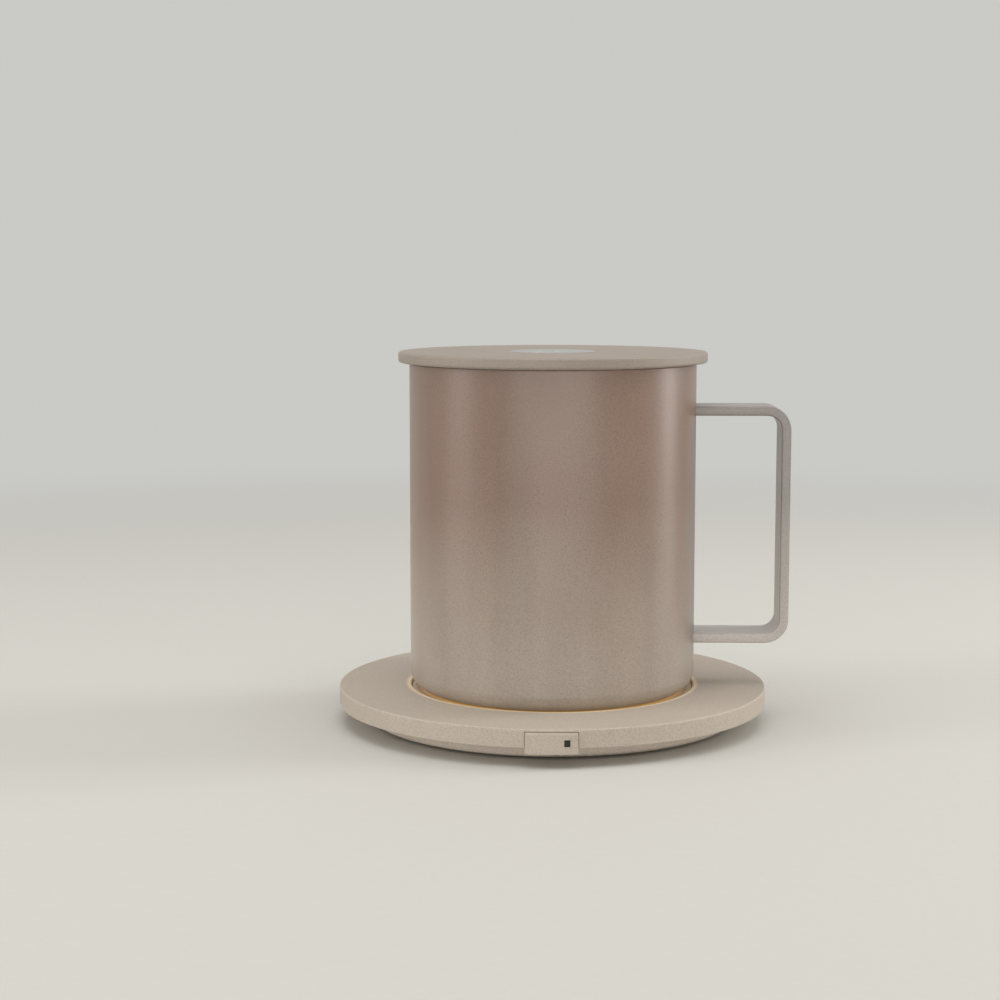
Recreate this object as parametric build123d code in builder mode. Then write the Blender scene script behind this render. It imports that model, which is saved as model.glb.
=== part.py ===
"""Heated mug set: a USB-powered round warmer, an insulated steel mug and a lid with a
temperature display.

Millimetres, +Z up. The origin is on the warmer's axis, on the surface that its base pad
stands on. The power button faces -Y, the USB socket +Y and the mug's handle +X.
At rest the mug stands in the warmer's seat and the lid closes the mug.
"""
from build123d import *
import math
import os

os.makedirs("parts", exist_ok=True)

# ------------------------------------------------------------------ warmer, outside
seat_margin = 21.4         # top face from the seat's edge to the rim
coaster_height = 9.8       # underside of the cover to the top face
rim_band = 5.25            # height of the rim
rim_round = 0.5            # rounding of the rim's top edge
rim_wall = 2.0
top_wall = 1.6
rim_overhang = 8.8         # rim beyond the narrower pedestal below it
pedestal_round = 0.9
cover_wall = 1.5
cover_flange = 1.2         # ledge of the cover that closes the rim from below
pad_margin = 1.4           # between the base pad and the cover screws' heads
pad_proud = 0.8
pad_sunk = 0.5
pad_border = 5.4           # outermost groove inside the pad's edge
pad_groove_width = 1.5
pad_groove_depth = 0.35
pad_groove_pitch = 9.0
pad_grooves = 4
pad_round = 0.3

# ------------------------------------------------------------------ warmer, heated seat
seat_inset = 0.3           # the seat's edge inside the mug's wall, over its rounded foot
seat_depth = 1.0
seat_round = 0.4
plate_round = 0.3
plate_lap = 2.9            # the plate's flange beyond the seat's edge
plate_flange = 0.8         # thickness of the plate's flange
seal_thickness = 0.4
clamp_thickness = 0.8      # ring that clamps the plate
film_margin = 1.7          # heater film inside the seat's edge
film_thickness = 0.25
track_thickness = 0.15
track_width = 2.6
track_pitch = 5.0
track_turns = 6
track_margin = 4.0         # film outside the middle of the outermost turn
track_gap = 4.0
felt_thickness = 1.5
bead_radius = 1.2          # thermistor
bead_height = 2.1
fuse_radius = 1.0
fuse_length = 6.0
fuse_bend = 1.6
fuse_setback = 13.0        # fuse and heater leads in front of the board's rear edge
heater_lead_spacing = 16.0
thin_lead_radius = 0.25
thin_lead_bend = 0.375

# ------------------------------------------------------------------ warmer, inside
ear_reach = 2.9            # clamp ring's screws beyond the plate's flange
ear_angles = (30, 150, 210, 330)
ear_radius = 3.0
ear_boss_radius = 2.3
cover_screw_reach = 3.9    # cover's screws beyond the plate's flange
cover_boss_radius = 3.2
shell_boss_radius = 2.5
boss_split = 4.0           # height where the cover's and the shell's bosses meet
board_thickness = 1.0
board_lift = 1.1           # board above the cover's floor
board_width = 48.0
board_depth = 35.0
board_hole_side = 4.0      # screw holes from the board's sides
board_hole_end = 7.5       # and from its front and rear
board_gap = 0.8            # between the control board and the cover's wall
post_radius = 1.7          # posts that carry the boards
support_inset = 10.0       # felt supports inside the film's edge
support_radius = 2.5
support_count = 3
pilot_depth = 0.5          # pilot holes of the board's screws in the cover's wall
lead_radius = 0.5
lead_spacing = 7.0
lead_bend = 1.8
lead_landing = 5.0         # wires on the board, from its rear edge
thin_lead_landing = 3.0

# ------------------------------------------------------------------ power button
button_width = 14.4
button_height = 5.7        # it hangs a little below the rim
button_drop = 0.9          # top of the button below the top face
button_proud = 1.2
button_round = 0.6
button_edge = 0.3
button_travel = 0.8
window_width = 1.6
window_height = 1.85
window_offset = 4.2        # beside the button's middle
window_drop = 3.6          # window's middle below the top face
window_recess = 0.15
button_ear = 1.4           # how far the button's lugs reach behind the rim
lug_thickness = 1.0
lug_height = 2.5
switch_offset = -3.0
switch_width = 6.0
switch_depth = 5.0
switch_height = 3.9
switch_cap = 0.6           # housing above its plunger
plunger_reach = 1.5        # plunger inside its housing at rest
switch_stem = 1.6
stem_width = 3.6
stem_height = 1.4
led_width = 3.2
led_depth = 2.6
led_height = 3.6
led_lens_radius = 0.9

# ------------------------------------------------------------------ USB socket
usb_width = 8.94
usb_height = 3.16
usb_depth = 7.3
usb_sheet = 0.3
usb_tongue_width = 6.7
usb_tongue_height = 0.7
usb_drop = 3.0             # socket's axis below the top face
usb_recess = 0.5           # socket's mouth behind the rim
usb_board_width = 17.0
usb_board_depth = 11.0
usb_board_thickness = 0.8
usb_tab = 1.5
usb_board_overlap = 3.0    # socket inside the board's notch
usb_post_spacing = 12.6

# ------------------------------------------------------------------ mug
mug_radius = 42.0
mug_height = 96.0
mug_foot_round = 5.3
steel_gauge = 0.5
mouth_depth = 9.5          # straight mouth that takes the lid's plug
shoulder_height = 3.0
air_gap = 2.4              # between the two steel walls
liner_corner = 8.0
foot_land = 2.7            # flat ring of the shell round the base cap
spreader_thickness = 3.0
spreader_inset = 1.0       # spreader inside the base cap's edge
lip_round = 0.2
strap_thickness = 2.8
strap_width = 14.5
strap_corner = 7.0
strap_edge = 0.5
handle_depth = 27.3        # outer face of the handle beyond the mug's wall
handle_drop = 12.3         # top of the handle below the rim
handle_height = 69.6

# ------------------------------------------------------------------ lid
lid_overhang = 3.2         # flange beyond the mug's wall
lid_flange = 3.1
lid_edge = 0.4
plug_depth = 7.7
plug_taper = 1.55          # plug's foot inside its neck, on the radius
cove_inset = 0.9           # the cove's middle inside the neck
cove_drop = 2.3            # and below the flange
plug_straight = 1.4        # upright stretch above the plug's foot
plug_wall = 2.3
plug_corner = 0.5
gasket_width = 2.0
gasket_thickness = 1.0
gasket_proud = 0.2
lid_top_wall = 1.7
lens_radius = 13.0
lens_thickness = 1.05
lens_ledge = 1.5
inner_cover = 2.0
inner_cover_step = 1.4
o_ring_radius = 0.45
panel_length = 18.0
panel_width = 12.0
panel_thickness = 2.0
digit_width = 3.6
digit_height = 7.2
digit_stroke = 0.7
digit_spacing = 6.0
digit_relief = 0.1
shown_number = "58"         # sample reading, degrees
lid_board_radius = 16.0
lid_board_thickness = 1.0
lid_screw_circle = 14.0
lid_boss_radius = 2.0
cell_radius = 10.0
cell_height = 3.2
cell_round = 0.3
clip_width = 5.0
clip_gauge = 0.3
probe_radius = 4.0
probe_cap = 0.8
probe_stem_radius = 2.0
probe_edge = 14.8          # probe's axis inside the inner cover's edge
probe_lead_inset = 1.2     # probe's wires inside the lid board's edge
probe_lead_bend = 0.6
probe_lead_offset = 0.667  # each wire beside the probe's axis
probe_lead_drop = 1.067    # wires below the cell's top
coin_slot = 16.0
coin_slot_width = 2.4
coin_slot_depth = 1.0
degree_radius = 0.9
degree_stroke = 0.4

# ------------------------------------------------------------------ screws
cover_screw = {"head": 2.1, "height": 1.3, "shank": 1.1, "length": 6.2}
clamp_screw = {"head": 1.8, "height": 1.1, "shank": 0.8, "length": 2.6}
board_screw = {"head": 1.6, "height": 1.0, "shank": 0.8, "length": 2.2}

# ------------------------------------------------------------------ clearances
slip = 0.3                 # between shells, and round pieces that move
hair = 0.05                # between fixed pieces that fit into each other

# ------------------------------------------------------------------ radii
seat_radius = mug_radius - seat_inset
coaster_radius = seat_radius + seat_margin
pedestal_radius = coaster_radius - rim_overhang
plate_flange_radius = seat_radius + plate_lap
film_radius = seat_radius - film_margin
track_outer = film_radius - track_margin
support_circle = film_radius - support_inset
ear_circle = plate_flange_radius + ear_reach
cover_screw_circle = plate_flange_radius + cover_screw_reach
pad_radius = cover_screw_circle - cover_screw["head"] - pad_margin
base_cap_radius = mug_radius - mug_foot_round - foot_land
handle_reach = mug_radius + handle_depth
lid_flange_radius = mug_radius + lid_overhang

# ------------------------------------------------------------------ heights
cover_bottom = pad_proud
top_face = cover_bottom + coaster_height
rim_bottom = top_face - rim_band
shell_under = top_face - top_wall
cover_floor = cover_bottom + cover_wall
flange_top = rim_bottom + cover_flange
mug_seat = top_face - seat_depth
plate_shoulder = shell_under - seal_thickness
plate_under = plate_shoulder - plate_flange
clamp_under = plate_under - clamp_thickness
film_under = plate_under - film_thickness
track_under = film_under - track_thickness
felt_under = track_under - felt_thickness
board_under = cover_floor + board_lift
board_top = board_under + board_thickness
mug_rim = mug_seat + mug_height
lid_seat = mug_rim + gasket_proud

# ------------------------------------------------------------------ places
rim_inside = coaster_radius - rim_wall
cover_reach = rim_inside - slip
pedestal_inside = pedestal_radius - cover_wall
board_edge = pedestal_inside - board_gap
board_middle_y = -board_edge + board_depth / 2
board_hole_x = board_width - 2 * board_hole_side
board_hole_y = board_depth - 2 * board_hole_end
board_rear_y = -board_edge + board_depth
fuse_y = board_rear_y - fuse_setback
bead_lead_y = board_rear_y - thin_lead_landing
bead_lead_z = track_under - bead_height + thin_lead_radius
cover_spots = [(cover_screw_circle, angle) for angle in (45, 135, 225, 315)]
ear_spots = [(ear_circle, angle) for angle in ear_angles]
button_top = top_face - button_drop
button_bottom = button_top - button_height
button_front = coaster_radius + button_proud
window_z = top_face - window_drop
pocket_floor = rim_bottom + cover_flange / 2
pocket_half = button_width / 2 + button_ear + slip
lug_front_y = -math.sqrt(rim_inside**2 - (button_width / 2 + button_ear) ** 2) + slip
lug_rear_y = lug_front_y + lug_thickness
switch_front_y = -board_edge + board_thickness
switch_z = board_top + switch_height - switch_cap - switch_stem / 2
switch_bore = plunger_reach + button_travel + slip
stem_end_y = switch_front_y - button_travel - 4 * slip
led_front_y = switch_front_y
pipe_end_y = led_front_y - led_lens_radius - button_travel - slip
usb_z = top_face - usb_drop
usb_mouth_y = coaster_radius - usb_recess
usb_rear_y = usb_mouth_y - usb_depth
usb_board_rear_y = usb_rear_y - usb_board_depth + usb_board_overlap
usb_board_middle_y = usb_board_rear_y + usb_board_depth / 2
usb_board_under = usb_z - usb_board_thickness / 2
usb_post_y = usb_board_rear_y + 2 * post_radius
liner_radius = mug_radius - steel_gauge - air_gap
mouth_radius = mug_radius - 2 * steel_gauge - hair
plug_neck = mouth_radius - slip
plug_foot = plug_neck - plug_taper
cover_bore = plug_foot - plug_wall
cavity_radius = cover_bore - inner_cover_step
probe_y = -(cover_bore - probe_edge)
probe_lead_y = -(lid_board_radius - probe_lead_inset)
gasket_inside = mug_radius - 2 * steel_gauge
gasket_outside = gasket_inside + gasket_width
lid_top = lid_seat + lid_flange
lid_ceiling = lid_top - lid_top_wall
lens_under = lid_top - lens_thickness
lens_opening = lens_radius - lens_ledge
panel_top = lens_under - digit_relief - hair
lid_board_top = panel_top - panel_thickness
lid_board_under = lid_board_top - lid_board_thickness
cell_top = lid_board_under - slip
cell_under = cell_top - cell_height
lid_bottom = lid_seat - plug_depth
inner_cover_top = lid_bottom + inner_cover
shown_figures = [
    (figure, (place - 0.5) * digit_spacing - degree_radius)
    for place, figure in enumerate(shown_number)
]
degree_x = digit_spacing / 2 + digit_width / 2 + degree_radius
lid_screw_spots = [(lid_screw_circle, angle) for angle in (90, 210, 330)]
# Control board's parts: place from its middle, then length, width and height.
board_parts = [
    (0.0, -3.0, 7.0, 7.0, 1.0),       # microcontroller
    (-12.0, -4.0, 6.5, 6.0, 1.2),     # heater transistor
    (12.0, -5.0, 5.0, 5.0, 1.3),      # regulator
    (-13.0, 8.0, 3.2, 1.6, 0.9),
    (-8.0, 10.0, 3.2, 1.6, 0.9),
    (13.0, 7.5, 3.2, 1.6, 0.9),
    (11.0, 11.5, 2.0, 1.25, 0.6),
    (-18.0, 0.0, 2.0, 1.25, 0.6),
    (18.5, -1.0, 1.25, 2.0, 0.6),
]


def polar(radius, angle):
    """Point at a radius and an angle in degrees."""
    return (radius * math.cos(math.radians(angle)), radius * math.sin(math.radians(angle)))


def spots(pairs, height, tilt=0):
    """Locations at a height, from (radius, angle) pairs; a tilt of 180 faces them down."""
    return [Location((*polar(*pair), height), (tilt, 0, 0)) for pair in pairs]


def turned_face(*points):
    """Closed face in the XZ plane, from (radius, height) pairs, to turn about Z."""
    with BuildSketch(Plane.XZ) as section:
        with BuildLine():
            Polyline(*points, close=True)
        make_face()
    return section.sketch


def sheet_face(points, radii, gauge):
    """Section of a thin turned wall: the outer path and the same path a gauge inside."""
    with BuildSketch(Plane.XZ) as section:
        with BuildLine():
            outer = FilletPolyline(*points, radius=radii)
            inner_points = [(max(radius - gauge, 0), height) for radius, height in points]
            inner_points[0] = (points[0][0], points[0][1] + gauge)
            inner_points[1] = (points[1][0] - gauge, points[1][1] + gauge)
            inner = FilletPolyline(*inner_points, radius=[radii[0] - gauge] + radii[1:])
            Line(outer @ 0, inner @ 0)
            Line(outer @ 1, inner @ 1)
        make_face()
    return section.sketch


def figure_bars(figure):
    """Bars of a seven-segment figure: middle x and y, length and turn in degrees."""
    half_width = (digit_width - digit_stroke) / 2
    half_height = (digit_height - digit_stroke) / 2
    flat = digit_width - digit_stroke
    tall = half_height
    bars = {
        "top": (0, half_height, flat, 0),
        "middle": (0, 0, flat, 0),
        "bottom": (0, -half_height, flat, 0),
        "upper_left": (-half_width, half_height / 2, tall, 90),
        "upper_right": (half_width, half_height / 2, tall, 90),
        "lower_left": (-half_width, -half_height / 2, tall, 90),
        "lower_right": (half_width, -half_height / 2, tall, 90),
    }
    unlit = {"5": ("upper_right", "lower_left"), "8": ()}[figure]
    return [bar for bar_name, bar in bars.items() if bar_name not in unlit]


def screw(head, height, shank, length):
    """Cross-recessed pan-head screw, with its shank up and its head's bearing face at 0."""
    with BuildPart() as body:
        with BuildSketch(Plane.XY.offset(-height)):
            Circle(head)
        extrude(amount=height)
        fillet(body.faces().sort_by(Axis.Z)[0].edges(), height * 0.4)
        with BuildSketch():
            Circle(shank)
        extrude(amount=length)
        chamfer(body.faces().sort_by(Axis.Z)[-1].edges(), shank * 0.4)
        with BuildSketch(Plane.XY.offset(-height)):
            Rectangle(head, head * 0.25)
            Rectangle(head * 0.25, head)
        extrude(amount=height * 0.5, mode=Mode.SUBTRACT)
    return body.part


def lead(*points, radius=lead_radius, bend=lead_bend):
    """Round wire along straight runs and tangent bends."""
    with BuildPart() as wire:
        with BuildLine() as route:
            FilletPolyline(*points, radius=bend)
        with BuildSketch(Plane(origin=route.line @ 0, z_dir=route.line % 0)):
            Circle(radius)
        sweep(path=route.line)
    return wire.part


STAND = (Align.CENTER, Align.CENTER, Align.MIN)      # bottom face on the location

# ================================================================== warmer: shells
with BuildPart() as top_shell:
    revolve(turned_face(
        (seat_radius, top_face),
        (coaster_radius, top_face),
        (coaster_radius, rim_bottom),
        (rim_inside, rim_bottom),
        (rim_inside, shell_under),
        (seat_radius, shell_under),
    ))
    top_edges = top_shell.edges().filter_by(GeomType.CIRCLE).group_by(Axis.Z)[-1]
    fillet(top_edges.sort_by(SortBy.RADIUS)[-1], rim_round)
    top_edges = top_shell.edges().filter_by(GeomType.CIRCLE).group_by(Axis.Z)[-1]
    fillet(top_edges.sort_by(SortBy.RADIUS)[0], seat_round)
    # Bosses for the cover's screws and for the screws of the clamp ring.
    with Locations(*spots(cover_spots, boss_split)):
        Cylinder(shell_boss_radius, shell_under - boss_split + hair, align=STAND)
    with Locations(*spots(ear_spots, plate_under)):
        Cylinder(ear_boss_radius, shell_under - plate_under + hair, align=STAND)
    with Locations(*spots(cover_spots, boss_split, 180)):
        Hole(cover_screw["shank"] + hair, shell_under - boss_split)
    with Locations(*spots(ear_spots, plate_under, 180)):
        Hole(clamp_screw["shank"] + hair, shell_under - plate_under + top_wall / 2)
    # Window for the power button, open at the rim's lower edge.
    with BuildSketch(Plane.XY.offset(rim_bottom)):
        with Locations((0, lug_rear_y + button_travel + slip)):
            Rectangle(button_width + 2 * slip, 2 * rim_wall + lug_rear_y + coaster_radius,
                      align=(Align.CENTER, Align.MAX))
    extrude(amount=button_top + slip - rim_bottom, mode=Mode.SUBTRACT)
    # Mouth of the USB socket through the rim, and room for the socket under the top.
    with BuildSketch(Plane.XZ.offset(-coaster_radius - slip)):
        with Locations((0, usb_z)):
            SlotOverall(usb_width + 2 * slip, usb_height + slip)
    extrude(amount=rim_wall + 2 * slip, mode=Mode.SUBTRACT)
    with BuildSketch(Plane.XY.offset(shell_under)):
        with Locations((0, (usb_rear_y + rim_inside) / 2)):
            Rectangle(usb_width + 2 * slip, rim_inside - usb_rear_y + slip)
    extrude(amount=usb_z + usb_height / 2 + slip / 2 - shell_under, mode=Mode.SUBTRACT)

with BuildPart() as bottom_cover:
    revolve(turned_face(
        (0, cover_bottom + pad_sunk),
        (pad_radius + hair, cover_bottom + pad_sunk),
        (pad_radius + hair, cover_bottom),
        (pedestal_radius, cover_bottom),
        (pedestal_radius, rim_bottom),
        (cover_reach, rim_bottom),
        (cover_reach, flange_top),
        (pedestal_inside, flange_top),
        (pedestal_inside, cover_floor),
        (0, cover_floor),
    ))
    foot_edges = bottom_cover.edges().filter_by(GeomType.CIRCLE).group_by(Axis.Z)[0]
    fillet(foot_edges.sort_by(SortBy.RADIUS)[-1], pedestal_round)
    with Locations(*spots(cover_spots, cover_floor - hair)):
        Cylinder(cover_boss_radius, boss_split - cover_floor + hair, align=STAND)
    with Locations(*spots(cover_spots, cover_bottom, 180)):
        CounterBoreHole(cover_screw["shank"] + slip / 2, cover_screw["head"] + slip / 2,
                        cover_wall, boss_split - cover_bottom)
    # Posts under the control board, the felt and the USB board, with pilot holes.
    with BuildSketch(Plane.XY.offset(cover_floor - hair)):
        with Locations((0, board_middle_y)):
            with GridLocations(board_hole_x, board_hole_y, 2, 2):
                Circle(post_radius)
    extrude(amount=board_lift + hair)
    with BuildSketch(Plane.XY.offset(cover_floor - hair)):
        with PolarLocations(support_circle, support_count, angular_range=180, endpoint=True):
            Circle(support_radius)
    extrude(amount=felt_under - cover_floor + hair)
    with BuildSketch(Plane.XY.offset(cover_floor - hair)):
        with Locations((0, usb_post_y)):
            with GridLocations(usb_post_spacing, 0, 2, 1):
                Circle(post_radius)
    extrude(amount=usb_board_under - cover_floor + hair)
    with Locations((0, board_middle_y, board_under)):
        with GridLocations(board_hole_x, board_hole_y, 2, 2):
            Hole(board_screw["shank"] + hair, board_under - cover_floor + pilot_depth)
    with Locations((0, usb_post_y, usb_board_under)):
        with GridLocations(usb_post_spacing, 0, 2, 1):
            Hole(board_screw["shank"] + hair, board_screw["length"])
    # Pockets in the ledge, where the button and the socket reach into the rim.
    with BuildSketch(Plane.XY.offset(pocket_floor)):
        with Locations((0, -(cover_reach + pedestal_inside) / 2 - slip)):
            Rectangle(2 * pocket_half, cover_reach - pedestal_inside + 4 * slip)
        with Locations((0, (cover_reach + pedestal_inside) / 2 + slip)):
            Rectangle(usb_board_width + 2 * slip, cover_reach - pedestal_inside + 4 * slip)
    extrude(amount=flange_top - pocket_floor, mode=Mode.SUBTRACT)

with BuildPart() as base_pad:
    revolve(turned_face(
        (0, 0),
        (pad_radius, 0),
        (pad_radius, pad_proud + pad_sunk),
        (0, pad_proud + pad_sunk),
    ))
    fillet(base_pad.edges().group_by(Axis.Z)[0], pad_round)
    with BuildSketch():
        for ring in range(pad_grooves):
            ring_radius = pad_radius - pad_border - ring * pad_groove_pitch
            Circle(ring_radius + pad_groove_width / 2)
            Circle(ring_radius - pad_groove_width / 2, mode=Mode.SUBTRACT)
    extrude(amount=pad_groove_depth, mode=Mode.SUBTRACT)

with BuildPart() as cover_screws:
    with Locations(*spots(cover_spots, cover_floor)):
        add(screw(**cover_screw))

# ================================================================== warmer: heated seat
with BuildPart() as heating_plate:
    revolve(turned_face(
        (0, mug_seat),
        (seat_radius - slip, mug_seat),
        (seat_radius - slip, plate_shoulder),
        (plate_flange_radius, plate_shoulder),
        (plate_flange_radius, plate_under),
        (0, plate_under),
    ))
    fillet(heating_plate.edges().group_by(Axis.Z)[-1], plate_round)

with BuildPart() as plate_seal:
    with BuildSketch(Plane.XY.offset(plate_shoulder)):
        Circle(plate_flange_radius - hair)
        Circle(seat_radius + hair, mode=Mode.SUBTRACT)
    extrude(amount=seal_thickness)

with BuildPart() as clamp_ring:
    with BuildSketch(Plane.XY.offset(clamp_under)):
        Circle(plate_flange_radius)
        for ear_angle in ear_angles:
            with Locations(polar(ear_circle, ear_angle)):
                Circle(ear_radius)
            with Locations(Location((*polar(ear_circle, ear_angle), 0), (0, 0, ear_angle))):
                Rectangle(2 * ear_radius, 2 * ear_radius, align=(Align.MAX, Align.CENTER))
        Circle(film_radius + slip, mode=Mode.SUBTRACT)
    extrude(amount=clamp_thickness)
    with Locations(*spots(ear_spots, clamp_under, 180)):
        Hole(clamp_screw["shank"] + hair, clamp_thickness)

with BuildPart() as clamp_screws:
    with Locations(*spots(ear_spots, clamp_under)):
        add(screw(**clamp_screw))

with BuildPart() as heater_film:
    with BuildSketch(Plane.XY.offset(film_under)):
        Circle(film_radius)
    extrude(amount=film_thickness)

with BuildPart() as heater_track:
    with BuildSketch(Plane.XY.offset(track_under)):
        for turn in range(track_turns):
            middle = track_outer - turn * track_pitch
            Circle(middle + track_width / 2)
            Circle(middle - track_width / 2, mode=Mode.SUBTRACT)
        with Locations((0, -film_radius / 2)):
            Rectangle(track_gap, film_radius, mode=Mode.SUBTRACT)
        # Radial links join each turn to the next, left and right of the gap by turns.
        for turn in range(track_turns - 1):
            side = track_gap / 2 + track_width / 2
            outer_y = -(track_outer - turn * track_pitch)
            with Locations((side if turn % 2 else -side, outer_y + track_pitch / 2)):
                Rectangle(track_width, track_pitch)
    extrude(amount=track_thickness)

with BuildPart() as insulation_felt:
    with BuildSketch(Plane.XY.offset(felt_under)):
        Circle(film_radius)
        Circle(bead_radius + slip, mode=Mode.SUBTRACT)
        with Locations((0, fuse_y)):
            SlotOverall(fuse_length + 4 * slip + 2 * fuse_bend, 2 * fuse_radius + 2 * slip,
                        mode=Mode.SUBTRACT)
            with GridLocations(heater_lead_spacing, 0, 2, 1):
                Circle(lead_radius + slip, mode=Mode.SUBTRACT)
    extrude(amount=felt_thickness)

with BuildPart() as thermistor:
    with Locations((0, 0, track_under)):
        Cylinder(bead_radius, bead_height, align=(Align.CENTER, Align.CENTER, Align.MAX))
    for side in (-1, 1):
        add(lead(
            (side * bead_radius / 2, 0, bead_lead_z),
            (side * bead_radius / 2, bead_lead_y, bead_lead_z),
            (side * bead_radius / 2, bead_lead_y, board_top),
            radius=thin_lead_radius, bend=thin_lead_bend,
        ))

with BuildPart() as thermal_fuse:
    with Locations(Location((0, fuse_y, track_under - fuse_radius), (0, 90, 0))):
        Cylinder(fuse_radius, fuse_length)
    for side in (-1, 1):
        add(lead(
            (side * (fuse_length / 2 - hair), fuse_y, track_under - fuse_radius),
            (side * (fuse_length / 2 + fuse_bend), fuse_y, track_under - fuse_radius),
            (side * (fuse_length / 2 + fuse_bend), fuse_y, board_top),
            radius=thin_lead_radius, bend=fuse_bend / 2,
        ))

with BuildPart() as heater_leads:
    with BuildSketch(Plane.XY.offset(board_top)):
        with Locations((0, fuse_y)):
            with GridLocations(heater_lead_spacing, 0, 2, 1):
                Circle(lead_radius)
    extrude(amount=track_under - board_top)

# ================================================================== warmer: electronics
with BuildPart() as control_board:
    with BuildSketch(Plane.XY.offset(board_under)):
        with Locations((0, board_middle_y)):
            Rectangle(board_width, board_depth)
        Circle(board_edge, mode=Mode.INTERSECT)
        with Locations((0, board_middle_y)):
            with GridLocations(board_hole_x, board_hole_y, 2, 2):
                Circle(board_screw["shank"] + hair, mode=Mode.SUBTRACT)
    extrude(amount=board_thickness)

with BuildPart() as board_components:
    for part_x, part_y, part_length, part_width, part_height in board_parts:
        with Locations((part_x, board_middle_y + part_y, board_top)):
            Box(part_length, part_width, part_height, align=STAND)

with BuildPart() as usb_board:
    with BuildSketch(Plane.XY.offset(usb_board_under)):
        with Locations((0, usb_board_middle_y)):
            Rectangle(usb_board_width, usb_board_depth)
        with Locations((0, usb_rear_y + usb_depth / 2 - hair)):
            Rectangle(usb_width + 2 * hair, usb_depth, mode=Mode.SUBTRACT)
        with Locations((0, usb_post_y)):
            with GridLocations(usb_post_spacing, 0, 2, 1):
                Circle(board_screw["shank"] + hair, mode=Mode.SUBTRACT)
    extrude(amount=usb_board_thickness)

with BuildPart() as board_screws:
    with Locations(Location((0, board_middle_y, board_top))):
        with GridLocations(board_hole_x, board_hole_y, 2, 2):
            with Locations(Location((0, 0, 0), (180, 0, 0))):
                add(screw(**board_screw))
    with Locations(Location((0, usb_post_y, usb_board_under + usb_board_thickness))):
        with GridLocations(usb_post_spacing, 0, 2, 1):
            with Locations(Location((0, 0, 0), (180, 0, 0))):
                add(screw(**board_screw))

with BuildPart() as usb_socket:
    with BuildSketch(Plane.XZ.offset(-usb_mouth_y)):
        with Locations((0, usb_z)):
            SlotOverall(usb_width, usb_height)
    extrude(amount=usb_depth)
    with BuildSketch(Plane.XZ.offset(-usb_mouth_y)):
        with Locations((0, usb_z)):
            SlotOverall(usb_width - 2 * usb_sheet, usb_height - 2 * usb_sheet)
    extrude(amount=usb_depth - 1, mode=Mode.SUBTRACT)
    with BuildSketch(Plane.XZ.offset(-usb_mouth_y + usb_sheet)):
        with Locations((0, usb_z)):
            Rectangle(usb_tongue_width, usb_tongue_height)
    extrude(amount=usb_depth - usb_sheet)
    # Solder tabs on the board, one each side.
    with Locations((0, usb_rear_y + 1, usb_board_under + usb_board_thickness)):
        with GridLocations(usb_width + usb_tab - 2 * usb_sheet, 0, 2, 1):
            Box(usb_tab + 2 * usb_sheet, usb_tab, usb_sheet, align=STAND)

with BuildPart() as power_leads:
    for side in (-1, 1):
        add(lead(
            (side * lead_spacing / 2, usb_board_rear_y + 2, usb_board_under),
            (side * lead_spacing / 2, usb_board_rear_y + 2, board_top + lead_radius + hair),
            (side * lead_spacing / 2, board_rear_y - lead_landing, board_top + lead_radius + hair),
        ))

with BuildPart() as push_switch:
    with Locations((switch_offset, switch_front_y + switch_depth / 2, board_top)):
        Box(switch_width, switch_depth, switch_height, align=STAND)
    fillet(push_switch.edges().filter_by(Axis.Y), slip)
    with BuildSketch(Plane.XZ.offset(-switch_front_y)):
        with Locations((switch_offset, switch_z)):
            Rectangle(switch_stem + slip, switch_stem + slip)
    extrude(amount=-switch_bore, mode=Mode.SUBTRACT)

with BuildPart() as indicator_led:
    with Locations((window_offset, led_front_y + led_depth / 2, board_top)):
        Box(led_width, led_depth, led_height, align=STAND)
    with Locations((window_offset, led_front_y, window_z)):
        Sphere(led_lens_radius)

# ================================================================== power button
with BuildPart() as power_button:
    with BuildSketch(Plane.XY.offset(button_bottom)):
        Circle(button_front)
        with Locations((0, lug_rear_y)):
            Rectangle(button_width, button_front + lug_rear_y,
                      align=(Align.CENTER, Align.MAX), mode=Mode.INTERSECT)
    extrude(amount=button_height)
    front_edges = power_button.edges().filter_by(Axis.Z).group_by(Axis.Y)[0]
    fillet(front_edges, button_round)
    fillet(power_button.faces().sort_by(Axis.Z)[-1].edges().sort_by(Axis.Y)[:3], button_edge)
    # Inside the rim the button clears the cover's ledge over its whole travel.
    with Locations((0, -(cover_reach + button_travel + slip), button_bottom)):
        Box(button_width, rim_inside, pocket_floor + slip - button_bottom,
            align=(Align.CENTER, Align.MIN, Align.MIN), mode=Mode.SUBTRACT)
    with Locations((0, (lug_front_y + lug_rear_y) / 2, pocket_floor + slip)):
        Box(button_width + 2 * button_ear, lug_thickness, lug_height, align=STAND)
    with Locations((switch_offset, (lug_rear_y + stem_end_y) / 2, switch_z)):
        Box(stem_width, stem_end_y - lug_rear_y + 2 * hair, stem_height)
    with BuildSketch(Plane.XZ.offset(button_front + slip)):
        with Locations((window_offset, window_z)):
            Rectangle(window_width + hair, window_height + hair)
    extrude(amount=-rim_inside, mode=Mode.SUBTRACT)

with BuildPart() as light_pipe:
    with BuildSketch(Plane.XZ.offset(-pipe_end_y)):
        with Locations((window_offset, window_z)):
            Rectangle(window_width, window_height)
    extrude(amount=button_front + pipe_end_y - window_recess)

with BuildPart() as switch_plunger:
    with Locations((switch_offset, (stem_end_y + switch_front_y + plunger_reach) / 2, switch_z)):
        Box(switch_stem, switch_front_y + plunger_reach - stem_end_y - 2 * hair, switch_stem)

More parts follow.
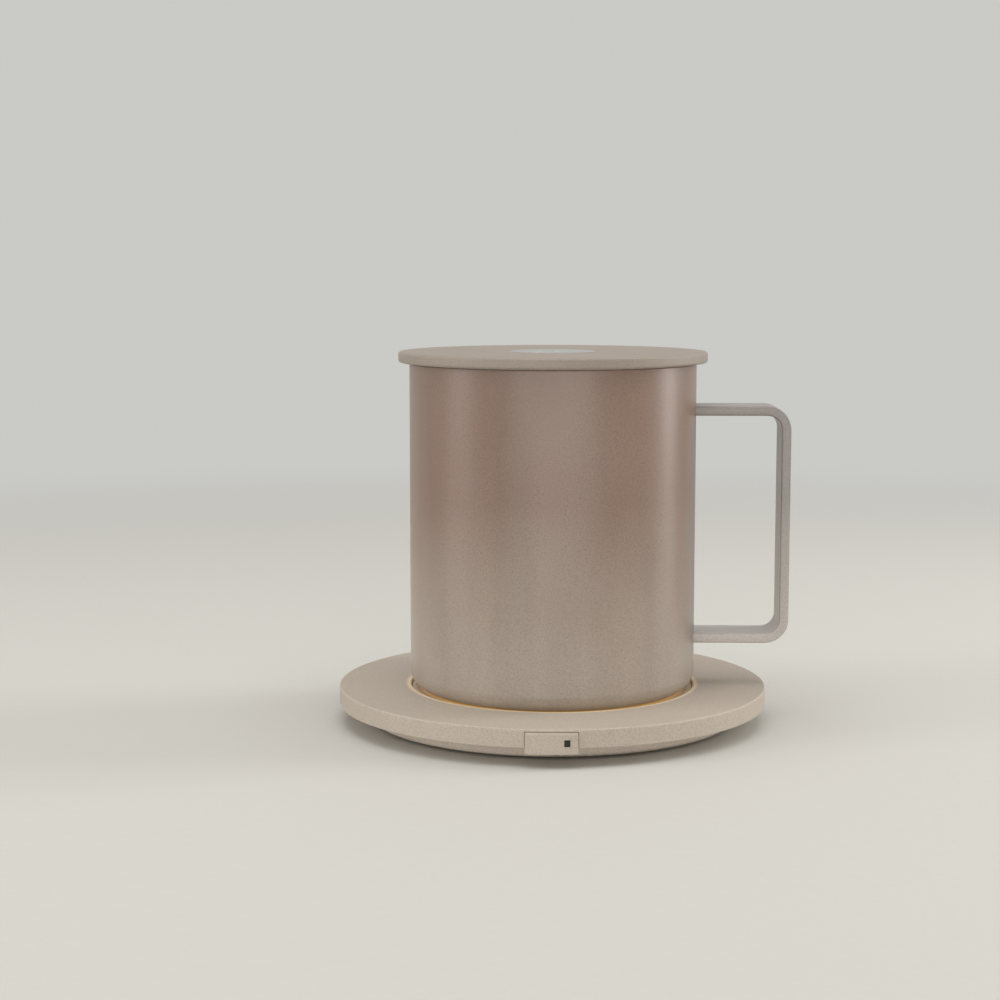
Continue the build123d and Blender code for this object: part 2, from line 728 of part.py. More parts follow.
# ================================================================== mug
with BuildPart() as outer_shell:
    revolve(sheet_face(
        [(base_cap_radius, mug_seat), (mug_radius, mug_seat), (mug_radius, mug_rim)],
        [mug_foot_round], steel_gauge,
    ))
    fillet(outer_shell.edges().group_by(Axis.Z)[-1].sort_by(SortBy.RADIUS)[-1], lip_round)

with BuildPart() as inner_liner:
    liner_floor = mug_seat + steel_gauge + spreader_thickness
    mouth_outside = mug_radius - steel_gauge - hair
    revolve(sheet_face(
        [
            (0, liner_floor),
            (liner_radius, liner_floor),
            (liner_radius, mug_rim - mouth_depth - shoulder_height),
            (mouth_outside, mug_rim - mouth_depth),
            (mouth_outside, mug_rim),
        ],
        [liner_corner, shoulder_height / 2, shoulder_height / 2], steel_gauge,
    ))
    fillet(inner_liner.edges().group_by(Axis.Z)[-1].sort_by(SortBy.RADIUS)[0], lip_round)

with BuildPart() as base_cap:
    with BuildSketch(Plane.XY.offset(mug_seat)):
        Circle(base_cap_radius - hair)
    extrude(amount=steel_gauge)

with BuildPart() as heat_spreader:
    with BuildSketch(Plane.XY.offset(mug_seat + steel_gauge)):
        Circle(base_cap_radius - spreader_inset)
    extrude(amount=spreader_thickness)

with BuildPart() as handle:
    strap_top = mug_rim - handle_drop
    strap_bottom = strap_top - handle_height
    strap_inside = handle_reach - strap_thickness
    with BuildSketch(Plane.XZ):
        with BuildLine():
            outer = FilletPolyline(
                (liner_radius, strap_top), (handle_reach, strap_top),
                (handle_reach, strap_bottom), (liner_radius, strap_bottom),
                radius=strap_corner,
            )
            inner = FilletPolyline(
                (liner_radius, strap_top - strap_thickness),
                (strap_inside, strap_top - strap_thickness),
                (strap_inside, strap_bottom + strap_thickness),
                (liner_radius, strap_bottom + strap_thickness),
                radius=strap_corner - strap_thickness,
            )
            Line(outer @ 0, inner @ 0)
            Line(outer @ 1, inner @ 1)
        make_face()
    extrude(amount=strap_width / 2, both=True)
    side_faces = handle.faces().filter_by(Axis.Y)
    fillet(side_faces.edges(), strap_edge)
    Cylinder(mug_radius + hair, 2 * mug_rim, mode=Mode.SUBTRACT)

# ================================================================== lid
with BuildPart() as lid_body:
    with BuildSketch(Plane.XZ):
        with BuildLine():
            Polyline(
                (lens_opening, lid_ceiling),
                (lens_opening, lens_under),
                (lens_radius + hair, lens_under),
                (lens_radius + hair, lid_top),
                (lid_flange_radius, lid_top),
                (lid_flange_radius, lid_seat),
                (gasket_outside, lid_seat),
                (gasket_outside, lid_seat + gasket_thickness - gasket_proud),
                (gasket_inside, lid_seat + gasket_thickness - gasket_proud),
                (gasket_inside, lid_seat),
                (plug_neck, lid_seat),
            )
            ThreePointArc(
                (plug_neck, lid_seat),
                (plug_neck - cove_inset, lid_seat - cove_drop),
                (plug_foot, lid_bottom + plug_straight),
            )
            Polyline(
                (plug_foot, lid_bottom + plug_straight),
                (plug_foot, lid_bottom),
                (cover_bore, lid_bottom),
                (cover_bore, inner_cover_top),
                (cavity_radius, inner_cover_top),
                (cavity_radius, lid_ceiling),
                (lens_opening, lid_ceiling),
            )
        make_face()
    revolve()
    rims = lid_body.edges().filter_by(GeomType.CIRCLE)
    flange_rims = rims.filter_by(lambda edge: edge.radius > lid_flange_radius - hair)
    fillet(flange_rims, lid_edge)
    foot_rims = lid_body.edges().filter_by(GeomType.CIRCLE).group_by(Axis.Z)[0]
    fillet(foot_rims.sort_by(SortBy.RADIUS)[-1], plug_corner)
    with Locations(*spots(lid_screw_spots, lid_board_top)):
        Cylinder(lid_boss_radius, lid_ceiling - lid_board_top + hair, align=STAND)
    with Locations(*spots(lid_screw_spots, lid_board_top, 180)):
        Hole(board_screw["shank"] + hair, board_screw["length"] - hair)

with BuildPart() as lid_gasket:
    with BuildSketch(Plane.XY.offset(lid_seat - gasket_proud)):
        Circle(gasket_outside - hair)
        Circle(gasket_inside + hair, mode=Mode.SUBTRACT)
    extrude(amount=gasket_thickness)

with BuildPart() as lid_inner_cover:
    with BuildSketch(Plane.XY.offset(lid_bottom)):
        Circle(cover_bore - hair)
    extrude(amount=inner_cover)
    with BuildSketch(Plane.XY.offset(lid_bottom + inner_cover / 2 - o_ring_radius - hair)):
        Circle(cover_bore)
        Circle(cover_bore - 2 * o_ring_radius - 2 * hair, mode=Mode.SUBTRACT)
    extrude(amount=2 * o_ring_radius + 2 * hair, mode=Mode.SUBTRACT)
    with BuildSketch(Plane.XY.offset(lid_bottom)):
        SlotOverall(coin_slot, coin_slot_width)
    extrude(amount=coin_slot_depth, mode=Mode.SUBTRACT)
    with Locations(Location((0, probe_y, lid_bottom), (180, 0, 0))):
        CounterBoreHole(probe_stem_radius + hair, probe_radius + hair, probe_cap, inner_cover)

with BuildPart() as cover_o_ring:
    with Locations((0, 0, lid_bottom + inner_cover / 2)):
        Torus(cover_bore - o_ring_radius - hair, o_ring_radius)

with BuildPart() as sensor_probe:
    with Locations((0, probe_y, lid_bottom)):
        Cylinder(probe_radius, probe_cap - hair, align=STAND)
        Cylinder(probe_stem_radius, inner_cover + slip, align=STAND)

with BuildPart() as probe_leads:
    for side in (-1, 1):
        add(lead(
            (side * probe_lead_offset, probe_y, inner_cover_top + slip),
            (side * probe_lead_offset, probe_y, cell_top - probe_lead_drop),
            (side * probe_lead_offset, probe_lead_y, cell_top - probe_lead_drop),
            (side * probe_lead_offset, probe_lead_y, lid_board_under),
            radius=thin_lead_radius, bend=probe_lead_bend,
        ))

with BuildPart() as display_lens:
    with BuildSketch(Plane.XY.offset(lens_under)):
        Circle(lens_radius)
    extrude(amount=lens_thickness)

with BuildPart() as display_panel:
    with Locations((0, 0, lid_board_top)):
        Box(panel_length, panel_width, panel_thickness, align=STAND)

with BuildPart() as display_digits:
    with BuildSketch(Plane.XY.offset(panel_top)):
        for figure, figure_x in shown_figures:
            for bar_x, bar_y, bar_length, bar_turn in figure_bars(figure):
                with Locations(Location((figure_x + bar_x, bar_y, 0), (0, 0, bar_turn))):
                    Rectangle(bar_length, digit_stroke)
        with Locations((degree_x, (digit_height - degree_radius) / 2)):
            Circle(degree_radius)
            Circle(degree_radius - degree_stroke, mode=Mode.SUBTRACT)
    extrude(amount=digit_relief)

with BuildPart() as lid_board:
    with BuildSketch(Plane.XY.offset(lid_board_under)):
        Circle(lid_board_radius)
        for spot in lid_screw_spots:
            with Locations(polar(*spot)):
                Circle(board_screw["shank"] + hair, mode=Mode.SUBTRACT)
    extrude(amount=lid_board_thickness)

with BuildPart() as lid_screws:
    with Locations(*spots(lid_screw_spots, lid_board_under)):
        add(screw(**board_screw))

with BuildPart() as coin_cell:
    with Locations((0, 0, cell_under)):
        Cylinder(cell_radius, cell_height, align=STAND)
    fillet(coin_cell.edges(), cell_round)

with BuildPart() as cell_clip:
    with BuildSketch(Plane.XZ):
        with Locations((0, lid_board_under)):
            Rectangle(2 * (cell_radius + slip + clip_gauge),
                      lid_board_under - cell_under + hair + clip_gauge,
                      align=(Align.CENTER, Align.MAX))
            Rectangle(2 * (cell_radius + slip), lid_board_under - cell_under + hair,
                      align=(Align.CENTER, Align.MAX), mode=Mode.SUBTRACT)
    extrude(amount=clip_width / 2, both=True)

# ================================================================== files
pieces = {
    "top_shell": top_shell, "bottom_cover": bottom_cover, "base_pad": base_pad,
    "cover_screws": cover_screws, "heating_plate": heating_plate, "plate_seal": plate_seal,
    "clamp_ring": clamp_ring, "clamp_screws": clamp_screws, "heater_film": heater_film,
    "heater_track": heater_track, "insulation_felt": insulation_felt,
    "thermistor": thermistor, "thermal_fuse": thermal_fuse, "heater_leads": heater_leads,
    "control_board": control_board, "board_components": board_components,
    "board_screws": board_screws, "usb_board": usb_board, "usb_socket": usb_socket,
    "power_leads": power_leads, "push_switch": push_switch, "indicator_led": indicator_led,
    "power_button": power_button, "light_pipe": light_pipe,
    "switch_plunger": switch_plunger,
    "outer_shell": outer_shell, "inner_liner": inner_liner, "base_cap": base_cap,
    "heat_spreader": heat_spreader, "handle": handle,
    "lid_body": lid_body, "lid_gasket": lid_gasket, "lid_inner_cover": lid_inner_cover,
    "cover_o_ring": cover_o_ring, "sensor_probe": sensor_probe, "probe_leads": probe_leads,
    "display_lens": display_lens, "display_panel": display_panel,
    "display_digits": display_digits, "lid_board": lid_board, "lid_screws": lid_screws,
    "coin_cell": coin_cell, "cell_clip": cell_clip,
}
for name, piece in pieces.items():
    piece.part.label = name
    export_step(piece.part, f"parts/{name}.step")
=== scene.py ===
"""Looks of a heated mug set: a round warmer, an insulated steel mug and a lid with a
temperature display. Places and sizes come from the CAD frame, in metres, +Z up."""

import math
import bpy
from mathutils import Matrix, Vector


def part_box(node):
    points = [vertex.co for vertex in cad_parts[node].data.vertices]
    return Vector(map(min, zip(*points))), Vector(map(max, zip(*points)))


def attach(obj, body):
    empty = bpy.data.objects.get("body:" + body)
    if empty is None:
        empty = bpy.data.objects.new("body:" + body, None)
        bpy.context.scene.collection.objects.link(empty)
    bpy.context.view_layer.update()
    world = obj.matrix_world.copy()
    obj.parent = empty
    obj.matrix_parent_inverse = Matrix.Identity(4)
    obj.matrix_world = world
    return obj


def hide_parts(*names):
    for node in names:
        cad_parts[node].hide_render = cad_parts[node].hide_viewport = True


bl_info = {
    "name": "Heated Mug Set",
    "version": (1, 0, 0),
    "blender": (4, 5, 0),
    "location": "3D View > Sidebar > Mug Set",
    "description": "Models and finishes the warmer, the mug and the lid round their frame",
    "category": "Add Mesh",
}

import bpy
from bpy.props import FloatProperty, FloatVectorProperty, IntProperty, PointerProperty
from mathutils import Vector

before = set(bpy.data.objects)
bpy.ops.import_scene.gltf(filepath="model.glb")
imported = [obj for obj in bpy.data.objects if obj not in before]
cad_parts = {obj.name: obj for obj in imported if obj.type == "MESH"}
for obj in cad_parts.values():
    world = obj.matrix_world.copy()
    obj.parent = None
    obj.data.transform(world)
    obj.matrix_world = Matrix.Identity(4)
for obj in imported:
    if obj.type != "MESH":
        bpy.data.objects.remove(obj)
MM = 0.001


# ------------------------------------------------------------------ places from the frame
def low(node):
    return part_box(node)[0]


def high(node):
    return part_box(node)[1]


def points_of(node):
    return [vertex.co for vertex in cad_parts[node].data.vertices]


def reach(node, lowest=-1.0, highest=1.0):
    """Least and greatest distance from the Z axis of a node, in a band of heights."""
    radii = [co.xy.length for co in points_of(node) if lowest <= co.z <= highest]
    return min(radii), max(radii)


def span(node, inside, outside=1.0):
    """Least and greatest height of a node, between two distances from the Z axis."""
    heights = [co.z for co in points_of(node) if inside <= co.xy.length <= outside]
    return min(heights), max(heights)


NEAR = 0.02 * MM  # places this close count as the same
# Warmer
RIM_RADIUS = reach("top_shell")[1]
SEAT_RADIUS = reach("top_shell")[0]
TOP_FACE = high("top_shell").z
RIM_BOTTOM = span("top_shell", RIM_RADIUS - NEAR)[0]
RIM_INSIDE = reach("top_shell", RIM_BOTTOM - NEAR, RIM_BOTTOM + NEAR)[0]
SHELL_UNDER = high("plate_seal").z
PLATE_RADIUS = reach("heating_plate")[1]
PLATE_TOP = high("heating_plate").z
PLATE_UNDER = low("heating_plate").z
PLATE_SHOULDER = low("plate_seal").z
PLATE_DISC = reach("heating_plate", PLATE_SHOULDER + NEAR)[1]
BUTTON_HALF = max(co.x for co in points_of("power_button") if co.y < -RIM_RADIUS)
BUTTON_TOP = high("power_button").z
INLET_HALF = 4.47 * MM  # half the width of the inlet's round-ended mouth
INLET_FOOT = low("usb_socket").z
INLET_TOP = high("usb_socket").z
INLET_MOUTH = high("usb_socket").y
# Mug
MUG_RADIUS = reach("outer_shell")[1]
MUG_SEAT = low("outer_shell").z
MUG_RIM = high("outer_shell").z
STEEL = high("base_cap").z - low("base_cap").z
BASE_HOLE = reach("outer_shell")[0]
FOOT_ROUND = MUG_RADIUS - reach("outer_shell", MUG_SEAT - NEAR, MUG_SEAT + NEAR)[1]
MOUTH = reach("inner_liner")[1]
MOUTH_FOOT = span("inner_liner", MOUTH - NEAR)[0]
LINER_FLOOR = low("inner_liner").z
# The body's radius, read above the floor's rounding and below the shoulder
LINER_BODY = reach("inner_liner", LINER_FLOOR + 7 * MM, MOUTH_FOOT - 4 * MM)[1]
LINER_ROUND = LINER_BODY - reach("inner_liner", LINER_FLOOR - NEAR, LINER_FLOOR + NEAR)[1]
HANDLE_REACH = high("handle").x
HANDLE_TOP = high("handle").z
HANDLE_FOOT = low("handle").z
STRAP_HALF = high("handle").y
# Lid
LID_RADIUS = reach("lid_body")[1]
LID_TOP = high("lid_body").z
LID_FOOT = low("lid_body").z
LID_SEAT = span("lid_body", LID_RADIUS - 0.5 * MM)[0]
PLUG_NECK = reach("lid_body", LID_SEAT - NEAR, LID_SEAT + NEAR)[0]
# The foot's radius, read just above its rounding
PLUG_FOOT = reach("lid_body", LID_FOOT + MM, LID_FOOT + 1.5 * MM)[1]
COVER_BORE = reach("lid_body", LID_FOOT - NEAR, LID_FOOT + NEAR)[0]
COVER_TOP = high("lid_inner_cover").z
CAVITY = reach("lid_body", COVER_TOP - NEAR, COVER_TOP + NEAR)[0]
LENS_OPENING = reach("lid_body")[0]
LID_CEILING = span("lid_body", 0, LENS_OPENING + NEAR)[0]
GASKET_INSIDE, GASKET_OUTSIDE = reach("lid_gasket")
GASKET_TOP = high("lid_gasket").z
LENS_RADIUS = reach("display_lens")[1]
LENS_UNDER = low("display_lens").z
BOARD_TOP = high("lid_board").z

# Screw bosses: the circle that they stand on, their radius and bore, and where they stand
# round it, in degrees
COVER_BOSSES = (48.5 * MM, 2.5 * MM, 1.15 * MM, (45, 135, 225, 315))
CLAMP_BOSSES = (47.5 * MM, 2.3 * MM, 0.85 * MM, (30, 150, 210, 330))
BOARD_BOSSES = (14.0 * MM, 2.0 * MM, 0.85 * MM, (90, 210, 330))
COVER_BOSS_FOOT = 4.0 * MM  # height of the lower end of the cover's bosses
BORE_SHARE = 0.9  # a boss's bore as a share of its height

BEYOND = MM  # how far a cutter runs past the wall that it cuts
STRAP_ROOT = 2 * MM  # how far inside the mug's wall the strap starts, before its trim
MERGE = 1e-6  # corners this close become one
SMOOTH = math.radians(30)  # edges flatter than this are shaded smooth
SMALL_STEPS, LARGE_STEPS = 6, 14  # steps of a rounding under 1 mm, and of a larger one
STRAP_STEPS, COVE_STEPS, HOLE_STEPS = 5, 10, 32


# ------------------------------------------------------------------ sizes and colours
def length(name, default, description):
    return FloatProperty(
        name=name, description=description, default=default, min=0.0, unit="LENGTH",
        subtype="DISTANCE", precision=5,
    )


def colour(name, default, description):
    return FloatVectorProperty(
        name=name, description=description, default=default, size=3, min=0.0, max=1.0,
        subtype="COLOR",
    )


def angle(name, degrees, description):
    return FloatProperty(
        name=name, description=description, default=math.radians(degrees), unit="ROTATION",
        subtype="ANGLE",
    )


def power(name, default, description):
    return FloatProperty(
        name=name, description=description, default=default, min=0.0, unit="POWER"
    )


class MugSetColours(bpy.types.PropertyGroup):
    """Colours of the set, as linear values"""

    shell: colour("Warmer shell", (0.480, 0.412, 0.338), "Moulded shell of the warmer")
    # Painted light: the base is made lighter than the shell, to offset the shade under the
    # rim
    cover: colour("Warmer base", (0.620, 0.534, 0.446), "Moulded cover under the shell")
    # Painted highlight: a pale line round the seat, for its edge catching light and the
    # plate's glow
    seat_highlight: colour("Seat edge", (0.82, 0.66, 0.45), "Pale line round the warmer's seat")
    # Painted shadow and painted glow of the plate: its dark middle stands for the mug's
    # shadow, and its amber tints, yellower in front, shine as a glow though the plate is no
    # lamp
    painted_shadow_centre: colour("Plate centre", (0.150, 0.104, 0.072), "Coat in the middle of the plate")
    glow: colour("Heat glow", (0.62, 0.345, 0.13), "Tint of the plate towards its border")
    painted_glow_front: colour("Front glow", (0.64, 0.42, 0.13), "Yellower tint of it in front")
    coat: colour("Mug coat", (0.412, 0.343, 0.282), "Satin coat of the mug")
    # Darker pink tone of the mug's coat: in random clouds as its own colour, and towards
    # the rim as painted shade
    blush: colour("Blush", (0.250, 0.160, 0.118), "Tint of that coat towards the mug's rim")
    strap: colour("Handle", (0.590, 0.536, 0.488), "Satin coat of the handle")
    # Darker tone of the handle: in random clouds, and towards its top as painted shade
    strap_blush: colour("Handle blush", (0.275, 0.240, 0.215), "Tint of its upper part")
    steel: colour("Steel", (0.78, 0.74, 0.70), "Bare steel of the mug's inside")
    lid: colour("Lid", (0.310, 0.256, 0.212), "Moulded lid")
    rubber: colour("Silicone", (0.34, 0.31, 0.28), "Silicone pad and seals")
    floor: colour("Floor", (0.590, 0.575, 0.530), "Floor near the set")
    backdrop: colour("Backdrop", (0.590, 0.590, 0.565), "Far floor and backdrop")


class MugSetStage(bpy.types.PropertyGroup):
    """Camera and lights"""

    distance: length("Distance", 0.591, "Camera from the mug's axis")
    eye: length("Eye height", 0.1348, "Camera above the floor")
    turn: angle("Turn", 1.5, "Camera's turn to the left")
    tilt: angle("Tilt", 6.74, "Camera's tilt below the horizon")
    focal: FloatProperty(
        name="Focal length", description="Camera's lens, in millimetres", default=72.5,
        min=10.0, unit="CAMERA",
    )
    room: FloatProperty(
        name="Room light", description="Strength of the room's even light", default=0.52,
        min=0.0,
    )
    left: power("Left lamp", 2.7, "Tall lamp on the left")
    right: power("Right lamp", 4.3, "Tall lamp on the right")
    front: power("Front lamp", 0.35, "Narrow lamp in front")
    top: power("Top lamp", 4.8, "Lamp overhead")
    low: power("Low lamp", 2.0, "Low lamp in front")
    fade_start: length("Fade start", 0.30, "Radius where the floor starts to fade")
    fade_end: length("Fade end", 0.80, "Radius where the floor meets the backdrop")


class MugSetSizes(bpy.types.PropertyGroup):
    """Sizes of the modelled pieces that the frame doesn't give"""

    steps: IntProperty(
        name="Steps", description="Steps round a turned piece", default=192, min=24
    )
    rim_round: length("Rim rounding", 0.5 * MM, "Top edge of the warmer's rim")
    rim_under: length("Rim's lower edge", 0.15 * MM, "Lower edge of the warmer's rim")
    seat_round: length("Seat rounding", 0.6 * MM, "Edge of the warmer's seat")
    window_gap: length("Window gap", 0.12 * MM, "Round the button and the inlet")
    plate_gap: length("Plate gap", 0.14 * MM, "Between the plate and the seat's edge")
    plate_lip: length("Plate lip", 0.22 * MM, "Raised border of the heated plate")
    plate_border: length("Plate border", 1.9 * MM, "Width of the plate's raised border")
    border_round: length("Border rounding", 0.3 * MM, "Edges of the plate's border")
    plate_edge: length("Plate edge", 0.1 * MM, "Edges of the plate under the shell")
    mug_lip: length("Mug lip", 0.45 * MM, "Rounding of the mug's rolled rim")
    liner_lip: length("Liner lip", 0.25 * MM, "Inner edge of the liner's mouth")
    shoulder: length("Shoulder", 3.0 * MM, "Height of the liner's shoulder")
    strap: length("Strap", 2.8 * MM, "Thickness of the handle's strap")
    strap_corner: length("Strap corner", 7.0 * MM, "Outer radius of the handle's corners")
    strap_edge: length("Strap edge", 0.55 * MM, "Rounding of the strap's long edges")
    lid_edge: length("Lid edge", 0.75 * MM, "Rounding of the lid's flange")
    plug_edge: length("Plug edge", 1.0 * MM, "Rounding of the lid's plug at its foot")
    bore_edge: length("Bore edge", 0.1 * MM, "Edge of the lid's bore at its foot")
    cavity_round: length("Cavity rounding", 0.5 * MM, "Upper corner of the lid's inside")
    cove_inset: length("Cove inset", 0.9 * MM, "Cove's middle inside the plug's neck")
    cove_drop: length("Cove drop", 2.3 * MM, "Cove's middle below the flange")
    foot_rise: length("Foot rise", 1.4 * MM, "Upright stretch above the plug's foot")
    lens_gap: length("Lens gap", 0.05 * MM, "Between the display's lens and its pocket")
    bezel: length("Bezel", 0.25 * MM, "Rounding of the lens and its pocket")


# ------------------------------------------------------------------ modelling
def deselect():
    """Leaves edit mode with nothing selected."""
    if bpy.context.object and bpy.context.object.mode != "OBJECT":
        bpy.ops.object.mode_set(mode="OBJECT")
    bpy.ops.object.select_all(action="DESELECT")


def take(piece, others=()):
    """Selects a piece and others, and nothing else, and makes the piece the active one."""
    deselect()
    for one in (*others, piece):
        one.select_set(True)
    bpy.context.view_layer.objects.active = piece


def begin(name):
    """Names the primitive that was just added and enters edit mode with all selected."""
    piece = bpy.context.object
    piece.name = name
    piece.data.name = name
    bpy.ops.object.mode_set(mode="EDIT")
    bpy.ops.mesh.select_mode(type="VERT")
    bpy.ops.mesh.select_all(action="SELECT")
    return piece


def choose(piece, kind, test):
    """Selects the vertices or the faces whose middle passes a test, in edit mode."""
    bpy.ops.mesh.select_mode(type=kind)
    bpy.ops.mesh.select_all(action="DESELECT")
    bpy.ops.object.mode_set(mode="OBJECT")
    if kind == "VERT":
        for vertex in piece.data.vertices:
            vertex.select = test(vertex.co)
    else:
        for face in piece.data.polygons:
            face.select = test(face.center)
    bpy.ops.object.mode_set(mode="EDIT")


def extrude(move):
    """Extrudes what is selected, in edit mode."""
    bpy.ops.mesh.extrude_region_move(TRANSFORM_OT_translate={"value": move})


def draw_profile(outline):
    """Draws a profile's corners in the XZ plane from one vertex, extruded step by step,
    then rounds each corner. outline holds (radius, height, rounding) triples."""
    points = [Vector((radius, 0, height)) for radius, height, rounding in outline]
    bpy.ops.mesh.primitive_plane_add(size=2 * MM, location=(0, 0, 0))
    piece = begin("profile")
    bpy.ops.mesh.merge(type="CENTER")
    bpy.ops.transform.translate(value=points[0])
    for start, end in zip(points, points[1:]):
        extrude(end - start)
    for index, (before, corner, after) in enumerate(zip(points, points[1:], points[2:]), 1):
        rounding = outline[index][2]
        if rounding > 0:
            turn = (corner - before).angle(after - corner)
            choose(piece, "VERT", lambda co: (co - corner).length < MERGE)
            bpy.ops.mesh.bevel(
                affect="VERTICES", offset=rounding * math.tan(turn / 2),
                segments=SMALL_STEPS if rounding < MM else LARGE_STEPS, clamp_overlap=False,
            )
    return piece


def arc(start, middle, end):
    """Points of a profile on the circle through three, the ends included."""
    (x1, y1), (x2, y2), (x3, y3) = start, middle, end
    area = 2 * (x1 * (y2 - y3) + x2 * (y3 - y1) + x3 * (y1 - y2))
    q1, q2, q3 = x1**2 + y1**2, x2**2 + y2**2, x3**2 + y3**2
    x = (q1 * (y2 - y3) + q2 * (y3 - y1) + q3 * (y1 - y2)) / area
    y = (q1 * (x3 - x2) + q2 * (x1 - x3) + q3 * (x2 - x1)) / area
    first, last = math.atan2(y1 - y, x1 - x), math.atan2(y3 - y, x3 - x)
    sweep = (last - first + math.pi) % (2 * math.pi) - math.pi
    radius = math.hypot(x1 - x, y1 - y)
    turns = [first + sweep * step / COVE_STEPS for step in range(COVE_STEPS + 1)]
    return [(x + radius * math.cos(a), y + radius * math.sin(a), 0) for a in turns]


def modify(piece, kind, **settings):
    """Adds a modifier and applies it."""
    take(piece)
    modifier = piece.modifiers.new(kind.title(), kind)
    for name, value in settings.items():
        setattr(modifier, name, value)
    bpy.ops.object.modifier_apply(modifier=modifier.name)
    return piece


def close_up(piece):
    """Merges doubles, turns faces outwards, and shades shallow edges smooth."""
    bpy.ops.mesh.select_all(action="SELECT")
    bpy.ops.mesh.remove_doubles(threshold=MERGE)
    bpy.ops.mesh.normals_make_consistent(inside=False)
    bpy.ops.object.mode_set(mode="OBJECT")
    bpy.ops.object.shade_smooth_by_angle(angle=SMOOTH)
    return modify(piece, "WEIGHTED_NORMAL", keep_sharp=True)


def turned(name, outline, steps, closed=False):
    """A round piece about the Z axis, spun from its rounded profile."""
    deselect()
    if closed:
        outline = outline + [outline[0]]
    piece = draw_profile(outline)
    bpy.ops.mesh.select_all(action="SELECT")
    bpy.ops.mesh.spin(steps=steps, angle=2 * math.pi, center=(0, 0, 0), axis=(0, 0, 1))
    piece.name = name
    piece.data.name = name
    return close_up(piece)


def settle(piece):
    """Applies a piece's place, turn and scale to its mesh."""
    take(piece)
    bpy.ops.object.transform_apply(location=True, rotation=True, scale=True)
    return piece


def block(name, corner, opposite):
    """A box between two corners, for cutting."""
    deselect()
    middle = (Vector(corner) + Vector(opposite)) / 2
    size = [abs(b - a) for a, b in zip(corner, opposite)]
    bpy.ops.mesh.primitive_cube_add(size=1, location=middle, scale=size)
    bpy.context.object.name = name
    return settle(bpy.context.object)


def slot_bar(name, half_width, foot, top, start, end):
    """A bar along Y with round sides, between two heights, for cutting."""
    deselect()
    radius = (top - foot) / 2
    bpy.ops.mesh.primitive_cylinder_add(
        vertices=HOLE_STEPS, radius=radius, depth=end - start,
        location=(0, (start + end) / 2, (foot + top) / 2),
        # Half a step round, so that no corner lies at X = 0
        rotation=(math.pi / 2, math.pi / HOLE_STEPS, 0),
    )
    settle(bpy.context.object)
    bar = begin(name)
    for side in (1, -1):
        choose(bar, "VERT", lambda co: side * co.x > 0)
        bpy.ops.transform.translate(value=(side * (half_width - radius), 0, 0))
    bpy.ops.object.mode_set(mode="OBJECT")
    return bar


def add_bosses(piece, kind, foot, top):
    """Joins round screw bosses to a piece, which hang from it, each with its bore."""
    circle, radius, bore, degrees = kind
    height = top - foot
    made = []
    for turn in map(math.radians, degrees):
        deselect()
        spot = (circle * math.cos(turn), circle * math.sin(turn), (foot + top) / 2)
        bpy.ops.mesh.primitive_cylinder_add(
            vertices=HOLE_STEPS, radius=radius, depth=height, location=spot
        )
        boss = begin("boss")
        choose(boss, "FACE", lambda middle: middle.z < NEAR - height / 2)
        bpy.ops.mesh.inset(thickness=radius - bore)
        extrude((0, 0, height * BORE_SHARE))
        bpy.ops.object.mode_set(mode="OBJECT")
        bpy.ops.object.shade_smooth_by_angle(angle=SMOOTH)
        made.append(settle(boss))
    take(piece, made)
    bpy.ops.object.join()


def cut(piece, cutter):
    """Cuts one closed piece out of another and deletes the cutter."""
    modify(piece, "BOOLEAN", operation="DIFFERENCE", object=cutter, solver="EXACT")
    bpy.data.objects.remove(cutter)


def place(piece, body, replaced, slot, finish=None):
    """Gives a finished piece the finish of its slot, or its own, hangs it on its body and
    hides the node that it stands for.
    """
    deselect()
    piece.data.materials.clear()
    piece.data.materials.append(finish_of(finish or slot))
    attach(piece, body)
    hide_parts(replaced)


# ------------------------------------------------------------------ material helpers
def new_material(name, colour, roughness, metallic=0.0):
    """A material with its shader's own values set; returns it with its tree and shader."""
    material = bpy.data.materials.new(name)
    material.use_nodes = True
    tree = material.node_tree
    shader = tree.nodes["Principled BSDF"]
    fill(tree, shader, Base_Color=colour, Roughness=roughness, Metallic=metallic)
    return material, tree, shader


def connect(tree, value, socket):
    """Links an input to another socket, or sets its value; colours come without alpha."""
    if isinstance(value, bpy.types.NodeSocket):
        tree.links.new(value, socket)
    elif socket.type == "RGBA":
        socket.default_value = (*value, 1)
    else:
        socket.default_value = value


def fill(tree, made, **inputs):
    """Links or sets a node's inputs, by their names with _ for a space."""
    for name, value in inputs.items():
        connect(tree, value, made.inputs[name.replace("_", " ")])
    return made


def node(tree, kind, settings=None, **inputs):
    """A node with its settings and its inputs given by name."""
    made = tree.nodes.new(kind)
    for name, value in (settings or {}).items():
        setattr(made, name, value)
    return fill(tree, made, **inputs)


def object_place(tree):
    return tree.nodes.new("ShaderNodeTexCoord").outputs["Object"]


def mapped(tree, place, **changes):
    return node(tree, "ShaderNodeMapping", Vector=place, **changes).outputs["Vector"]


def noise(tree, place, size, detail=2.0, roughness=0.5):
    """Noise whose grains are about as large as size, in metres."""
    made = node(
        tree, "ShaderNodeTexNoise", Vector=place, Scale=1 / size, Detail=detail,
        Roughness=roughness,
    )
    return made.outputs["Fac"]


def ramp(tree, factor, stops):
    """A colour or value ramp; stops are (place, value or colour)."""
    made = node(tree, "ShaderNodeValToRGB", Fac=factor)
    band = made.color_ramp
    while len(band.elements) < len(stops):
        band.elements.new(0.5)
    for element, (position, value) in zip(band.elements, stops):
        element.position = position
        shade = (value, value, value) if isinstance(value, float) else value
        element.color = (*shade, 1)
    return made.outputs["Color"]


def ranged(tree, factor, lowest, highest, start=0.0, end=1.0, kind="LINEAR"):
    """A value that goes from lowest to highest while the factor goes from start to end."""
    made = node(
        tree, "ShaderNodeMapRange", {"interpolation_type": kind}, Value=factor,
        From_Min=start, From_Max=end, To_Min=lowest, To_Max=highest,
    )
    return made.outputs["Result"]


